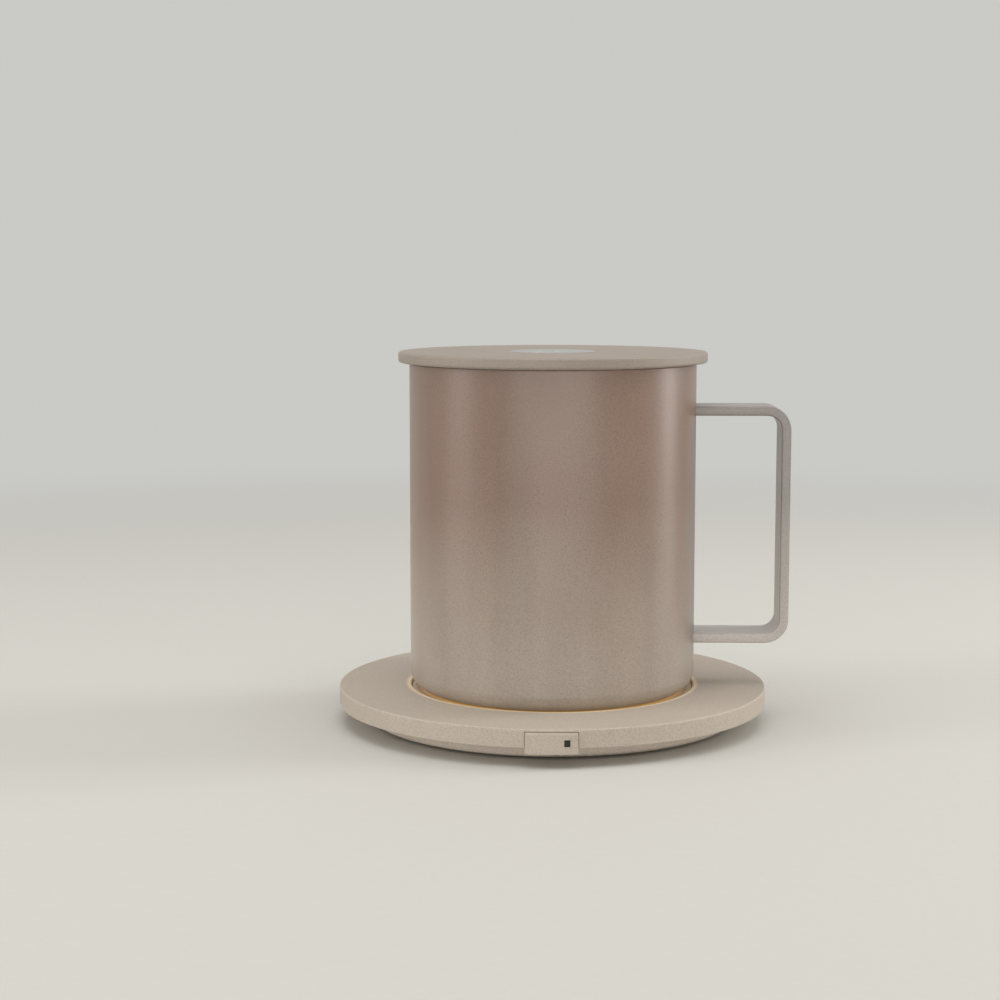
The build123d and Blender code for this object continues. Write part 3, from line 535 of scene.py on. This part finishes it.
def blend_colours(tree, factor, first, second, mode="MIX"):
    made = node(tree, "ShaderNodeMix", {"data_type": "RGBA", "blend_type": mode})
    sockets = {socket.identifier: socket for socket in made.inputs}
    connect(tree, factor, sockets["Factor_Float"])
    connect(tree, first, sockets["A_Color"])
    connect(tree, second, sockets["B_Color"])
    return next(s for s in made.outputs if s.identifier == "Result_Color")


def flecked(tree, colour, grain, start, end, least):
    """A colour, of which only the least part shows where a grain is below start."""
    shade = ramp(tree, grain, [(start, least), (end, 1.0)])
    return blend_colours(tree, 1.0, colour, shade, "MULTIPLY")


def maths(tree, operation, *values):
    made = node(tree, "ShaderNodeMath", {"operation": operation})
    for socket, value in zip(made.inputs, values):
        connect(tree, value, socket)
    return made.outputs["Value"]


def split(tree, place):
    """The X, Y and Z of a point."""
    parts = node(tree, "ShaderNodeSeparateXYZ", Vector=place).outputs
    return parts["X"], parts["Y"], parts["Z"]


def axis_distance(tree, place):
    """Distance of a point from the Z axis."""
    x, y = split(tree, place)[:2]
    squares = maths(tree, "ADD", maths(tree, "POWER", x, 2.0), maths(tree, "POWER", y, 2.0))
    return maths(tree, "SQRT", squares)


def add_bump(tree, shader, height, depth):
    bump = node(tree, "ShaderNodeBump", Height=height, Distance=depth)
    tree.links.new(bump.outputs["Normal"], shader.inputs["Normal"])


def tone(colour, factor):
    return tuple(min(1.0, channel * factor) for channel in colour)


# ------------------------------------------------------------------ finishes
SHADE_RISE_START, SHADE_RISE_END = 20 * MM, 68 * MM  # heights between which the coat takes on its darker tone, as painted shade
CLOUD_GRAINS = 60  # grains across a faint cloud in a moulded colour
BRUSH_LINE, BRUSH_DEPTH = 0.12 * MM, 0.01 * MM  # the lines in brushed metal
ACRYLIC_IOR = 1.49
# Where the seat's painted highlight starts, and how wide it is
SEAT_HIGHLIGHT_START, SEAT_HIGHLIGHT_WIDTH = SEAT_RADIUS + 0.6 * MM, 1.6 * MM
SHADOW_SHIFT = 2 * MM  # the plate's dark middle, a painted shadow, lies this far behind its centre
# Strength of the plate's painted glow, and of the display's lit bars
PAINTED_GLOW_STRENGTH, BARS_STRENGTH = 0.45, 12.0
# The tongue in the inlet, and its gold strips
TONGUE_HALF, TONGUE_THICKNESS = 3.35 * MM, 0.7 * MM
STRIP_PITCH, STRIP_COUNT = 0.5 * MM, 11

# Grained finishes by slot: material, colour or its property, roughness, grain and depth
# in millimetres, and the strength of the flecks
GRAINED = {
    "warmer_plastic": ("moulded_shell", "shell", 0.60, 0.42, 0.05, 0.085),
    # The base's lighter colour is painted light against the shade under the rim
    "cover_plastic": ("moulded_cover", "cover", 0.62, 0.42, 0.05, 0.08),
    "lid_plastic": ("moulded_lid", "lid", 0.52, 0.38, 0.02, 0.07),
    "silicone": ("silicone", "rubber", 0.70, 0.10, 0.01, 0.03),
    "amber_film": ("amber_film", (0.5, 0.19, 0.02), 0.25, 1.5, 0.01, 0.06),
    "felt": ("needled_felt", (0.72, 0.70, 0.64), 0.95, 0.5, 0.3, 0.12),
    "sensor_glass": ("glazed_bead", (0.05, 0.035, 0.03), 0.15, 0.4, 0.01, 0.05),
    "wire": ("wire_insulation", (0.42, 0.03, 0.02), 0.50, 0.3, 0.01, 0.05),
    "component_black": ("moulded_package", (0.02, 0.02, 0.022), 0.45, 0.1, 0.01, 0.05),
    "dark_window": ("smoked_window", (0.012, 0.010, 0.009), 0.12, 0.5, 0.002, 0.05),
}
# Brushed metals by slot: material, colour or its property, roughness, and whether the
# lines run round the Z axis or along X
BRUSHED = {
    "screw_steel": ("zinc_plate", (0.42, 0.42, 0.44), 0.32, True),
    "clamp_steel": ("stamped_steel", (0.5, 0.5, 0.51), 0.35, False),
    "etched_track": ("etched_foil", (0.55, 0.42, 0.27), 0.30, True),
    "fuse_metal": ("drawn_can", (0.6, 0.6, 0.61), 0.30, False),
    "bare_steel": ("bare_steel", "steel", 0.30, True),
    "spreader_aluminium": ("plain_aluminium", (0.64, 0.65, 0.66), 0.38, True),
    "cell_steel": ("cell_can", (0.62, 0.62, 0.63), 0.22, True),
}
# Nodes whose finish differs from the rest of their record slot; the base cover's is made
# lighter, as painted light against the shade under the rim
OWN_FINISHES = {"bottom_cover": "cover_plastic"}


def grained(name, colour, roughness, grain, depth, fleck):
    """A moulded, coated or felted surface: fine grain in its bump, flecks in its colour
    and a little variation in its gloss."""
    material, tree, shader = new_material(name, colour, roughness)
    place = object_place(tree)
    fine = noise(tree, place, grain, 3.0, 0.6)
    clouds = noise(tree, place, grain * CLOUD_GRAINS, 2.0)
    dark, pale = tone(colour, 1 - 2 * fleck), tone(colour, 1 + fleck)
    specks = ramp(tree, fine, [(0.36, dark), (0.50, colour), (0.66, pale)])
    fill(
        tree, shader, Base_Color=flecked(tree, specks, clouds, 0.3, 0.7, 0.96),
        Roughness=ranged(tree, fine, roughness - 0.06, roughness + 0.08, 0.3, 0.7),
    )
    add_bump(tree, shader, fine, depth)
    return material


def add_seat_highlight(material, colour):
    """Draws a painted highlight over a finish: a pale line round the warmer's seat, for its
    edge catching light and the plate's painted glow.
    """
    tree = material.node_tree
    base = tree.nodes["Principled BSDF"].inputs["Base Color"]
    share = ranged(
        tree, axis_distance(tree, object_place(tree)), 1.0, 0.0, SEAT_HIGHLIGHT_START,
        SEAT_HIGHLIGHT_START + SEAT_HIGHLIGHT_WIDTH, "SMOOTHSTEP",
    )
    tree.links.new(blend_colours(tree, share, base.links[0].from_socket, colour), base)


def brushed(name, colour, roughness, round_axis):
    """Metal with fine lines that run round the Z axis, or along X."""
    material, tree, shader = new_material(name, colour, roughness, 1.0)
    place = object_place(tree)
    if round_axis:
        radius, height = axis_distance(tree, place), split(tree, place)[2]
        across = node(tree, "ShaderNodeCombineXYZ", X=radius, Y=height).outputs["Vector"]
    else:
        across = mapped(tree, place, Scale=(0.02, 1, 1))
    lines = noise(tree, across, BRUSH_LINE, 4.0, 0.7)
    smears = noise(tree, place, 9 * MM, 3.0)
    gloss = maths(
        tree, "ADD", ranged(tree, lines, roughness - 0.05, roughness + 0.05, 0.3, 0.7),
        ranged(tree, smears, -0.03, 0.05, 0.3, 0.7),
    )
    shade = ramp(tree, lines, [(0.3, tone(colour, 0.86)), (0.7, tone(colour, 1.06))])
    fill(tree, shader, Base_Color=shade, Roughness=gloss)
    add_bump(tree, shader, lines, BRUSH_DEPTH)
    return material


def powder_coat(name, coat, tone_and_shade):
    """The mug's satin coat: fine orange peel, a darker pink tone in random clouds that also
    comes in towards the rim as painted shade, and faint upright bands painted as the
    satin's sheen."""
    material, tree, shader = new_material(name, coat, 0.34)
    place = object_place(tree)
    grain = noise(tree, place, 0.42 * MM, 3.0, 0.65)
    peel = noise(tree, place, 1.3 * MM, 2.0)
    # Painted sheen: faint upright bands, lighter and darker, stand for the satin's sheen
    sheen_streaks = noise(tree, mapped(tree, place, Scale=(1, 1, 0.10)), 17 * MM, 2.0, 0.5)
    clouds = ranged(tree, noise(tree, place, 46 * MM, 2.0), 0.30, 0.70)
    # Painted shade: the coat takes on its darker tone with height
    shade_rise = ranged(tree, split(tree, place)[2], -0.30, 0.30, SHADE_RISE_START, SHADE_RISE_END)
    share = ranged(tree, maths(tree, "ADD", clouds, shade_rise), 0.0, 1.0, 0.20, 0.82)
    shade = blend_colours(tree, share, coat, tone_and_shade)
    shade = flecked(tree, shade, sheen_streaks, 0.34, 0.60, (0.86, 0.87, 0.87))
    shade = flecked(tree, shade, grain, 0.34, 0.56, 0.78)
    fill(
        tree, shader, Base_Color=shade, Roughness=ranged(tree, grain, 0.28, 0.42, 0.3, 0.7),
        Coat_Weight=0.2, Coat_Roughness=0.3,
    )
    relief = maths(tree, "ADD", maths(tree, "MULTIPLY", peel, 2.0), grain)
    add_bump(tree, shader, relief, 0.012 * MM)
    return material


def heated_coat(name, colours):
    """The plate's coat: a painted shadow of the mug darkens its middle, a painted amber
    glow, yellower in front, shines towards its edge, and a painted highlight makes its
    border pale."""
    shell = tuple(colours.shell)
    material, tree, shader = new_material(name, shell, 0.5)
    place = object_place(tree)
    moved = mapped(tree, place, Location=(0, -SHADOW_SHIFT, 0))
    glow_radius = maths(tree, "DIVIDE", axis_distance(tree, moved), PLATE_DISC)
    front = ranged(tree, split(tree, place)[1], 1.0, 0.0, -PLATE_DISC, -0.35 * PLATE_DISC)
    glow = blend_colours(tree, front, colours.glow, colours.painted_glow_front)
    # Painted glow towards the plate's edge, over the painted shadow of the mug in its
    # middle
    glow_share = ramp(tree, glow_radius, [(0.64, 0.0), (0.82, 0.55), (0.94, 1.0)])
    glow_and_shadow = blend_colours(tree, glow_share, colours.painted_shadow_centre, glow)
    outwards = maths(tree, "DIVIDE", axis_distance(tree, place), PLATE_DISC)
    # Pale border: the plate's own beige, made lighter as a painted highlight on its raised
    # lip
    border = ramp(tree, outwards, [(0.935, 0.0), (0.965, 1.0)])
    shade = blend_colours(tree, border, glow_and_shadow, tone(shell, 1.25))
    grain = noise(tree, place, 0.45 * MM, 3.0, 0.6)
    bare = maths(tree, "SUBTRACT", 1.0, maths(tree, "MULTIPLY", border, 0.85))
    # The painted glow also shines as emission, dimmed on the border
    light = maths(tree, "MULTIPLY", maths(tree, "POWER", glow_share, 1.6), bare)
    light = maths(tree, "MULTIPLY", light, PAINTED_GLOW_STRENGTH)
    fill(
        tree, shader, Base_Color=flecked(tree, shade, grain, 0.32, 0.55, 0.88),
        Emission_Color=glow, Emission_Strength=light,
    )
    add_bump(tree, shader, grain, 0.03 * MM)
    return material


def inlet_metal(name):
    """The inlet's nickel shell, and in it a dark tongue with gold strips on its faces."""
    nickel, dark, gold = (0.62, 0.61, 0.58), (0.014, 0.014, 0.015), (0.83, 0.60, 0.25)
    material, tree, shader = new_material(name, nickel, 0.24, 1.0)
    place = object_place(tree)
    x, y, z = split(tree, place)
    middle = (INLET_FOOT + INLET_TOP) / 2
    across = maths(tree, "ABSOLUTE", x)
    above = maths(tree, "ABSOLUTE", maths(tree, "SUBTRACT", z, middle))
    tongue = maths(
        tree, "MULTIPLY", maths(tree, "LESS_THAN", across, TONGUE_HALF + NEAR),
        maths(tree, "LESS_THAN", above, TONGUE_THICKNESS / 2 + NEAR),
    )
    strip = maths(
        tree, "GREATER_THAN", maths(tree, "PINGPONG", x, STRIP_PITCH / 2), STRIP_PITCH / 4
    )
    inner = maths(tree, "LESS_THAN", across, STRIP_COUNT * STRIP_PITCH / 2)
    behind = maths(tree, "LESS_THAN", y, INLET_MOUTH - 2 * TONGUE_THICKNESS)
    strips = maths(
        tree, "MULTIPLY", maths(tree, "MULTIPLY", strip, inner),
        maths(tree, "MULTIPLY", behind, tongue),
    )
    lines = noise(tree, place, 0.2 * MM, 3.0, 0.6)
    plated = ramp(tree, lines, [(0.3, tone(nickel, 0.88)), (0.7, tone(nickel, 1.05))])
    shade = blend_colours(tree, tongue, plated, dark)
    fill(
        tree, shader, Base_Color=blend_colours(tree, strips, shade, gold),
        Metallic=maths(tree, "MAXIMUM", maths(tree, "SUBTRACT", 1.0, tongue), strips),
        Roughness=ranged(tree, lines, 0.20, 0.30, 0.3, 0.7),
    )
    add_bump(tree, shader, lines, 0.004 * MM)
    return material


def clear_plastic(name, colour, roughness):
    """Polished see-through plastic with faint moulding swirls."""
    material, tree, shader = new_material(name, colour, roughness)
    fill(tree, shader, Transmission_Weight=1.0, IOR=ACRYLIC_IOR)
    add_bump(tree, shader, noise(tree, object_place(tree), 2 * MM, 2.0), 0.002 * MM)
    return material


def lit_bars(name, colour):
    """Bars that light up, with a faint shimmer."""
    material, tree, shader = new_material(name, colour, 0.4)
    shimmer = noise(tree, object_place(tree), 1.5 * MM, 1.0)
    light = ranged(tree, shimmer, 0.9 * BARS_STRENGTH, 1.1 * BARS_STRENGTH)
    fill(tree, shader, Emission_Color=colour, Emission_Strength=light)
    return material


def circuit(name, colour):
    """Solder mask over copper tracks that run in right angles."""
    material, tree, shader = new_material(name, colour, 0.35)
    cells = node(
        tree, "ShaderNodeTexVoronoi", {"distance": "CHEBYCHEV", "feature": "F2"},
        Vector=object_place(tree), Scale=1 / (2.4 * MM),
    ).outputs["Distance"]
    tracks = ramp(tree, cells, [(0.62, 0.0), (0.66, 1.0), (0.72, 1.0), (0.76, 0.0)])
    fill(tree, shader, Base_Color=blend_colours(tree, tracks, colour, tone(colour, 1.9)))
    add_bump(tree, shader, tracks, 0.03 * MM)
    return material


def make_finishes(colours):
    """Every material of the set by the name of its record slot."""
    def shade(entry):
        return tuple(getattr(colours, entry)) if isinstance(entry, str) else entry

    finishes = {
        "coated_plate": heated_coat("heated_coat", colours),
        "circuit_board": circuit("solder_mask", (0.01, 0.11, 0.05)),
        "socket_steel": inlet_metal("nickel_shell"),
        "led_lens": clear_plastic("led_lens", (0.9, 0.9, 0.86), 0.15),
        "dark_lens": clear_plastic("smoked_lens", (0.08, 0.08, 0.09), 0.04),
        "mug_coating": powder_coat("satin_coat", shade("coat"), shade("blush")),
        # The handle's coat also darkens towards its top as painted shade
        "handle_coating": powder_coat("handle_coat", shade("strap"), shade("strap_blush")),
        "lit_digits": lit_bars("lit_bars", (0.90, 0.95, 1.0)),
    }
    for slot, (name, entry, roughness, grain, depth, fleck) in GRAINED.items():
        finishes[slot] = grained(
            name, shade(entry), roughness, grain * MM, depth * MM, fleck
        )
    for slot, (name, entry, roughness, round_axis) in BRUSHED.items():
        finishes[slot] = brushed(name, shade(entry), roughness, round_axis)
    add_seat_highlight(finishes["warmer_plastic"], colours.seat_highlight)
    return finishes


def finish_of(slot):
    return bpy.data.materials[bpy.context.scene["finish_" + slot]]


class MUGSET_OT_finishes(bpy.types.Operator):
    """Make every finish and give the frame's own nodes theirs"""

    bl_idname = "mug_set.finishes"
    bl_label = "Finishes"

    def execute(self, context):
        for slot, material in make_finishes(context.scene.mug_set_colours).items():
            context.scene["finish_" + slot] = material.name
        for name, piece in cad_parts.items():
            slot = OWN_FINISHES.get(name, piece.data.materials[0].name)
            piece.data.materials.clear()
            piece.data.materials.append(finish_of(slot))
        return {"FINISHED"}


# ------------------------------------------------------------------ warmer
class MUGSET_OT_warmer_top(bpy.types.Operator):
    """Spin the warmer's top, cut its windows and hang its screw bosses"""

    bl_idname = "mug_set.warmer_top"
    bl_label = "Warmer Top"

    def execute(self, context):
        sizes = context.scene.mug_set_sizes
        top = turned("warmer_top", [
            (SEAT_RADIUS, SHELL_UNDER, 0),
            (SEAT_RADIUS, TOP_FACE, sizes.seat_round),
            (RIM_RADIUS, TOP_FACE, sizes.rim_round),
            (RIM_RADIUS, RIM_BOTTOM, sizes.rim_under),
            (RIM_INSIDE, RIM_BOTTOM, 0),
            (RIM_INSIDE, SHELL_UNDER, 0),
        ], sizes.steps, closed=True)
        gap = sizes.window_gap
        window = BUTTON_HALF + gap
        cut(top, block(
            "window", (-window, -RIM_RADIUS - BEYOND, RIM_BOTTOM - BEYOND),
            (window, -RIM_INSIDE + BEYOND, BUTTON_TOP + gap),
        ))
        cut(top, slot_bar(
            "mouth", INLET_HALF + gap, INLET_FOOT - gap / 2, INLET_TOP + gap / 2,
            RIM_INSIDE - BEYOND, RIM_RADIUS + BEYOND,
        ))
        add_bosses(top, COVER_BOSSES, COVER_BOSS_FOOT, SHELL_UNDER + NEAR)
        add_bosses(top, CLAMP_BOSSES, PLATE_UNDER, SHELL_UNDER + NEAR)
        place(top, "warmer", "top_shell", "warmer_plastic")
        return {"FINISHED"}


class MUGSET_OT_plate(bpy.types.Operator):
    """Spin the heated plate with its raised border"""

    bl_idname = "mug_set.plate"
    bl_label = "Heated Plate"

    def execute(self, context):
        sizes = context.scene.mug_set_sizes
        disc = SEAT_RADIUS - sizes.plate_gap
        border = disc - sizes.plate_border
        lip = PLATE_TOP + sizes.plate_lip
        plate = turned("warmer_plate", [
            (0, PLATE_UNDER, 0),
            (PLATE_RADIUS, PLATE_UNDER, sizes.plate_edge),
            (PLATE_RADIUS, PLATE_SHOULDER, sizes.plate_edge),
            (disc, PLATE_SHOULDER, 0),
            (disc, lip, sizes.border_round),
            (border + sizes.plate_lip, lip, sizes.border_round),
            (border - sizes.plate_lip, PLATE_TOP, sizes.border_round),
            (0, PLATE_TOP, 0),
        ], sizes.steps)
        place(plate, "warmer", "heating_plate", "coated_plate")
        return {"FINISHED"}


# ------------------------------------------------------------------ mug
class MUGSET_OT_mug(bpy.types.Operator):
    """Spin the mug's outer wall and its inner liner"""

    bl_idname = "mug_set.mug"
    bl_label = "Mug"

    def execute(self, context):
        sizes = context.scene.mug_set_sizes
        inside = MUG_RADIUS - STEEL
        wall = turned("mug_wall", [
            (BASE_HOLE, MUG_SEAT, 0),
            (MUG_RADIUS, MUG_SEAT, FOOT_ROUND),
            (MUG_RADIUS, MUG_RIM, sizes.mug_lip),
            (inside, MUG_RIM, 0),
            (inside, MUG_SEAT + STEEL, FOOT_ROUND - STEEL),
            (BASE_HOLE, MUG_SEAT + STEEL, 0),
        ], sizes.steps, closed=True)
        place(wall, "mug", "outer_shell", "mug_coating")
        bend = sizes.shoulder / 2
        neck = MOUTH_FOOT - sizes.shoulder
        liner = turned("mug_liner", [
            (0, LINER_FLOOR, 0),
            (LINER_BODY, LINER_FLOOR, LINER_ROUND),
            (LINER_BODY, neck, bend),
            (MOUTH, MOUTH_FOOT, bend),
            (MOUTH, MUG_RIM, 0),
            (MOUTH - STEEL, MUG_RIM, sizes.liner_lip),
            (MOUTH - STEEL, MOUTH_FOOT, bend),
            (LINER_BODY - STEEL, neck, bend),
            (LINER_BODY - STEEL, LINER_FLOOR + STEEL, LINER_ROUND - STEEL),
            (0, LINER_FLOOR + STEEL, 0),
        ], sizes.steps)
        place(liner, "mug", "inner_liner", "bare_steel")
        return {"FINISHED"}


class MUGSET_OT_handle(bpy.types.Operator):
    """Bend the handle from a flat strap with rounded edges"""

    bl_idname = "mug_set.handle"
    bl_label = "Handle"

    def execute(self, context):
        sizes = context.scene.mug_set_sizes
        root = MUG_RADIUS - STRAP_ROOT
        bend = HANDLE_REACH - sizes.strap_corner
        turn_high = HANDLE_TOP - sizes.strap_corner
        turn_low = HANDLE_FOOT + sizes.strap_corner
        start = (root, 0, HANDLE_TOP - sizes.strap / 2)
        deselect()
        bpy.ops.mesh.primitive_plane_add(
            size=1, location=start, rotation=(0, math.pi / 2, 0)
        )
        settle(bpy.context.object)
        handle = begin("mug_handle")
        bpy.ops.transform.resize(
            value=(1, 2 * STRAP_HALF, sizes.strap), center_override=start
        )
        bpy.ops.mesh.bevel(affect="VERTICES", offset=sizes.strap_edge, segments=STRAP_STEPS)
        bpy.ops.mesh.delete(type="ONLY_FACE")
        bpy.ops.mesh.select_all(action="SELECT")
        extrude((bend - root, 0, 0))
        for centre, run in (
            ((bend, 0, turn_high), (0, 0, turn_low - turn_high)),
            ((bend, 0, turn_low), (root - bend, 0, 0)),
        ):
            bpy.ops.mesh.spin(
                steps=LARGE_STEPS, angle=math.pi / 2, center=centre, axis=(0, -1, 0)
            )
            extrude(run)
        bpy.ops.mesh.select_all(action="SELECT")
        bpy.ops.mesh.fill_holes(sides=0)
        close_up(handle)
        deselect()
        bpy.ops.mesh.primitive_cylinder_add(
            vertices=sizes.steps, radius=MUG_RADIUS - STEEL / 2, depth=2 * MUG_RIM
        )
        cut(handle, bpy.context.object)
        place(handle, "mug", "handle", "mug_coating", "handle_coating")
        return {"FINISHED"}


# ------------------------------------------------------------------ lid
class MUGSET_OT_lid(bpy.types.Operator):
    """Spin the lid's body with its plug, gasket groove and lens pocket, and its lens"""

    bl_idname = "mug_set.lid"
    bl_label = "Lid"

    def execute(self, context):
        sizes = context.scene.mug_set_sizes
        pocket = LENS_RADIUS + sizes.lens_gap
        cove = arc(
            (PLUG_NECK, LID_SEAT),
            (PLUG_NECK - sizes.cove_inset, LID_SEAT - sizes.cove_drop),
            (PLUG_FOOT, LID_FOOT + sizes.foot_rise),
        )
        lid = turned("lid_shell", [
            (LENS_OPENING, LID_CEILING, 0),
            (LENS_OPENING, LENS_UNDER, 0),
            (pocket, LENS_UNDER, 0),
            (pocket, LID_TOP, sizes.bezel),
            (LID_RADIUS, LID_TOP, sizes.lid_edge),
            (LID_RADIUS, LID_SEAT, sizes.lid_edge),
            (GASKET_OUTSIDE, LID_SEAT, 0),
            (GASKET_OUTSIDE, GASKET_TOP, 0),
            (GASKET_INSIDE, GASKET_TOP, 0),
            (GASKET_INSIDE, LID_SEAT, 0),
            *cove,
            (PLUG_FOOT, LID_FOOT, sizes.plug_edge),
            (COVER_BORE, LID_FOOT, sizes.bore_edge),
            (COVER_BORE, COVER_TOP, 0),
            (CAVITY, COVER_TOP, 0),
            (CAVITY, LID_CEILING, sizes.cavity_round),
        ], sizes.steps, closed=True)
        add_bosses(lid, BOARD_BOSSES, BOARD_TOP, LID_CEILING + NEAR)
        place(lid, "lid", "lid_body", "lid_plastic")
        lens = turned("lens_disc", [
            (0, LENS_UNDER, 0),
            (LENS_RADIUS, LENS_UNDER, 0),
            (LENS_RADIUS, LID_TOP, sizes.bezel),
            (0, LID_TOP, 0),
        ], sizes.steps)
        place(lens, "lid", "display_lens", "dark_lens")
        return {"FINISHED"}


# ------------------------------------------------------------------ stage
FLOOR_RADIUS, FLOOR_STEPS = 4.0, 96
ROOM_TINT = (1.0, 0.985, 0.965)
SENSOR_WIDTH = 36  # millimetres
CLIP_START = 0.01
SET_MIDDLE, WARMER_MIDDLE = (0, 0, (MUG_SEAT + LID_TOP) / 2), (0, 0, 0.01)
# Soft lamps by the property that holds their power: place, aim, width and height
LAMPS = {
    "left": ((-0.82, -0.22, 0.32), SET_MIDDLE, 0.30, 0.9),
    "right": ((0.83, 0.18, 0.32), SET_MIDDLE, 0.26, 0.9),
    "front": ((0.17, -0.85, 0.42), SET_MIDDLE, 0.07, 0.7),
    "top": ((0.0, -0.1, 1.0), SET_MIDDLE, 1.0, 0.8),
    "low": ((0.0, -0.9, 0.05), WARMER_MIDDLE, 1.2, 0.08),
}


def soft_lamp(name, energy, spot, aim, width, height):
    """A rectangular soft lamp that faces a point."""
    bpy.ops.object.light_add(type="AREA", location=spot)
    lamp = bpy.context.object
    lamp.name = name
    lamp.data.shape = "RECTANGLE"
    lamp.data.size = width
    lamp.data.size_y = height
    lamp.data.energy = energy
    lamp.visible_camera = False
    lamp.rotation_euler = (Vector(aim) - Vector(spot)).to_track_quat("-Z", "Y").to_euler()


def seen(tree):
    """1 for what the camera sees, also in a mirror or through glass; 0 for stray light."""
    rays = tree.nodes.new("ShaderNodeLightPath").outputs
    mirrored = maths(tree, "MAXIMUM", rays["Is Glossy Ray"], rays["Is Transmission Ray"])
    return maths(tree, "MAXIMUM", rays["Is Camera Ray"], mirrored)


def mix_shaders(tree, factor, first, second, output):
    """Feeds a tree's output with two shaders, mixed by a factor."""
    mix = node(tree, "ShaderNodeMixShader", Fac=factor)
    for index, shader in enumerate((first, second), 1):
        tree.links.new(shader.outputs[0], mix.inputs[index])
    tree.links.new(mix.outputs["Shader"], tree.nodes[output].inputs["Surface"])


def floor_material(stage, colours):
    """A pale floor that takes shadows and fades into the backdrop far from the set."""
    near = tuple(colours.floor)
    material, tree, shader = new_material("pale_floor", near, 0.75)
    place = object_place(tree)
    grain = noise(tree, place, 3 * MM, 2.0)
    shade = ramp(tree, grain, [(0.3, tone(near, 0.985)), (0.7, near)])
    fill(tree, shader, Base_Color=shade)
    far = ranged(
        tree, axis_distance(tree, place), 0.0, 1.0, stage.fade_start, stage.fade_end,
        "SMOOTHSTEP",
    )
    glow = node(tree, "ShaderNodeEmission", Color=colours.backdrop, Strength=1.0)
    share = maths(tree, "MULTIPLY", far, seen(tree))
    mix_shaders(tree, share, shader, glow, "Material Output")
    return material


def make_world(scene, strength, backdrop):
    """A room of even light that shows as the backdrop's colour."""
    world = bpy.data.worlds.new("room")
    scene.world = world
    world.use_nodes = True
    tree = world.node_tree
    light = fill(tree, tree.nodes["Background"], Color=ROOM_TINT, Strength=strength)
    shown = node(tree, "ShaderNodeBackground", Color=backdrop, Strength=1.0)
    mix_shaders(tree, seen(tree), light, shown, "World Output")


class MUGSET_OT_stage(bpy.types.Operator):
    """Lay the floor, hang the lamps and set up the camera"""

    bl_idname = "mug_set.stage"
    bl_label = "Stage"

    def execute(self, context):
        stage = context.scene.mug_set_stage
        colours = context.scene.mug_set_colours
        deselect()
        bpy.ops.mesh.primitive_circle_add(
            vertices=FLOOR_STEPS, radius=FLOOR_RADIUS, fill_type="NGON"
        )
        floor = begin("floor")
        bpy.ops.object.mode_set(mode="OBJECT")
        floor.data.materials.append(floor_material(stage, colours))
        make_world(context.scene, stage.room, colours.backdrop)
        for name, setting in LAMPS.items():
            soft_lamp(name + "_lamp", getattr(stage, name), *setting)

        bpy.ops.object.camera_add(location=(0, -stage.distance, stage.eye))
        camera = context.object
        camera.name = "camera"
        camera.rotation_mode = "XYZ"
        camera.rotation_euler = (math.pi / 2 - stage.tilt, 0, stage.turn)
        camera.data.lens = stage.focal
        camera.data.sensor_width = SENSOR_WIDTH
        camera.data.clip_start = CLIP_START
        context.scene.camera = camera
        context.scene.view_settings.view_transform = "Standard"
        return {"FINISHED"}


# ------------------------------------------------------------------ panel and registration
OPERATORS = [
    MUGSET_OT_finishes,
    MUGSET_OT_warmer_top,
    MUGSET_OT_plate,
    MUGSET_OT_mug,
    MUGSET_OT_handle,
    MUGSET_OT_lid,
    MUGSET_OT_stage,
]
GROUPS = {
    "mug_set_sizes": MugSetSizes,
    "mug_set_colours": MugSetColours,
    "mug_set_stage": MugSetStage,
}


class MUGSET_PT_panel(bpy.types.Panel):
    """Sizes, colours and steps of the mug set"""

    bl_idname = "MUGSET_PT_panel"
    bl_label = "Heated Mug Set"
    bl_space_type = "VIEW_3D"
    bl_region_type = "UI"
    bl_category = "Mug Set"

    def draw(self, context):
        for group_name in GROUPS:
            group = getattr(context.scene, group_name)
            box = self.layout.box()
            for name in group.bl_rna.properties.keys():
                if name not in ("rna_type", "name"):
                    box.prop(group, name)
        for operator in OPERATORS:
            self.layout.operator(operator.bl_idname)


CLASSES = [*GROUPS.values(), *OPERATORS, MUGSET_PT_panel]


def register():
    for cls in CLASSES:
        bpy.utils.register_class(cls)
    for name, group in GROUPS.items():
        setattr(bpy.types.Scene, name, PointerProperty(type=group))


def unregister():
    for name in GROUPS:
        delattr(bpy.types.Scene, name)
    for cls in reversed(CLASSES):
        bpy.utils.unregister_class(cls)


def main():
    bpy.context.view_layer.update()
    for leftover in [o for o in bpy.data.objects if o.type in ("CAMERA", "LIGHT")]:
        bpy.data.objects.remove(leftover)
    register()
    for operator in OPERATORS:
        group, name = operator.bl_idname.split(".")
        getattr(getattr(bpy.ops, group), name)()


if __name__ == "__main__":
    main()
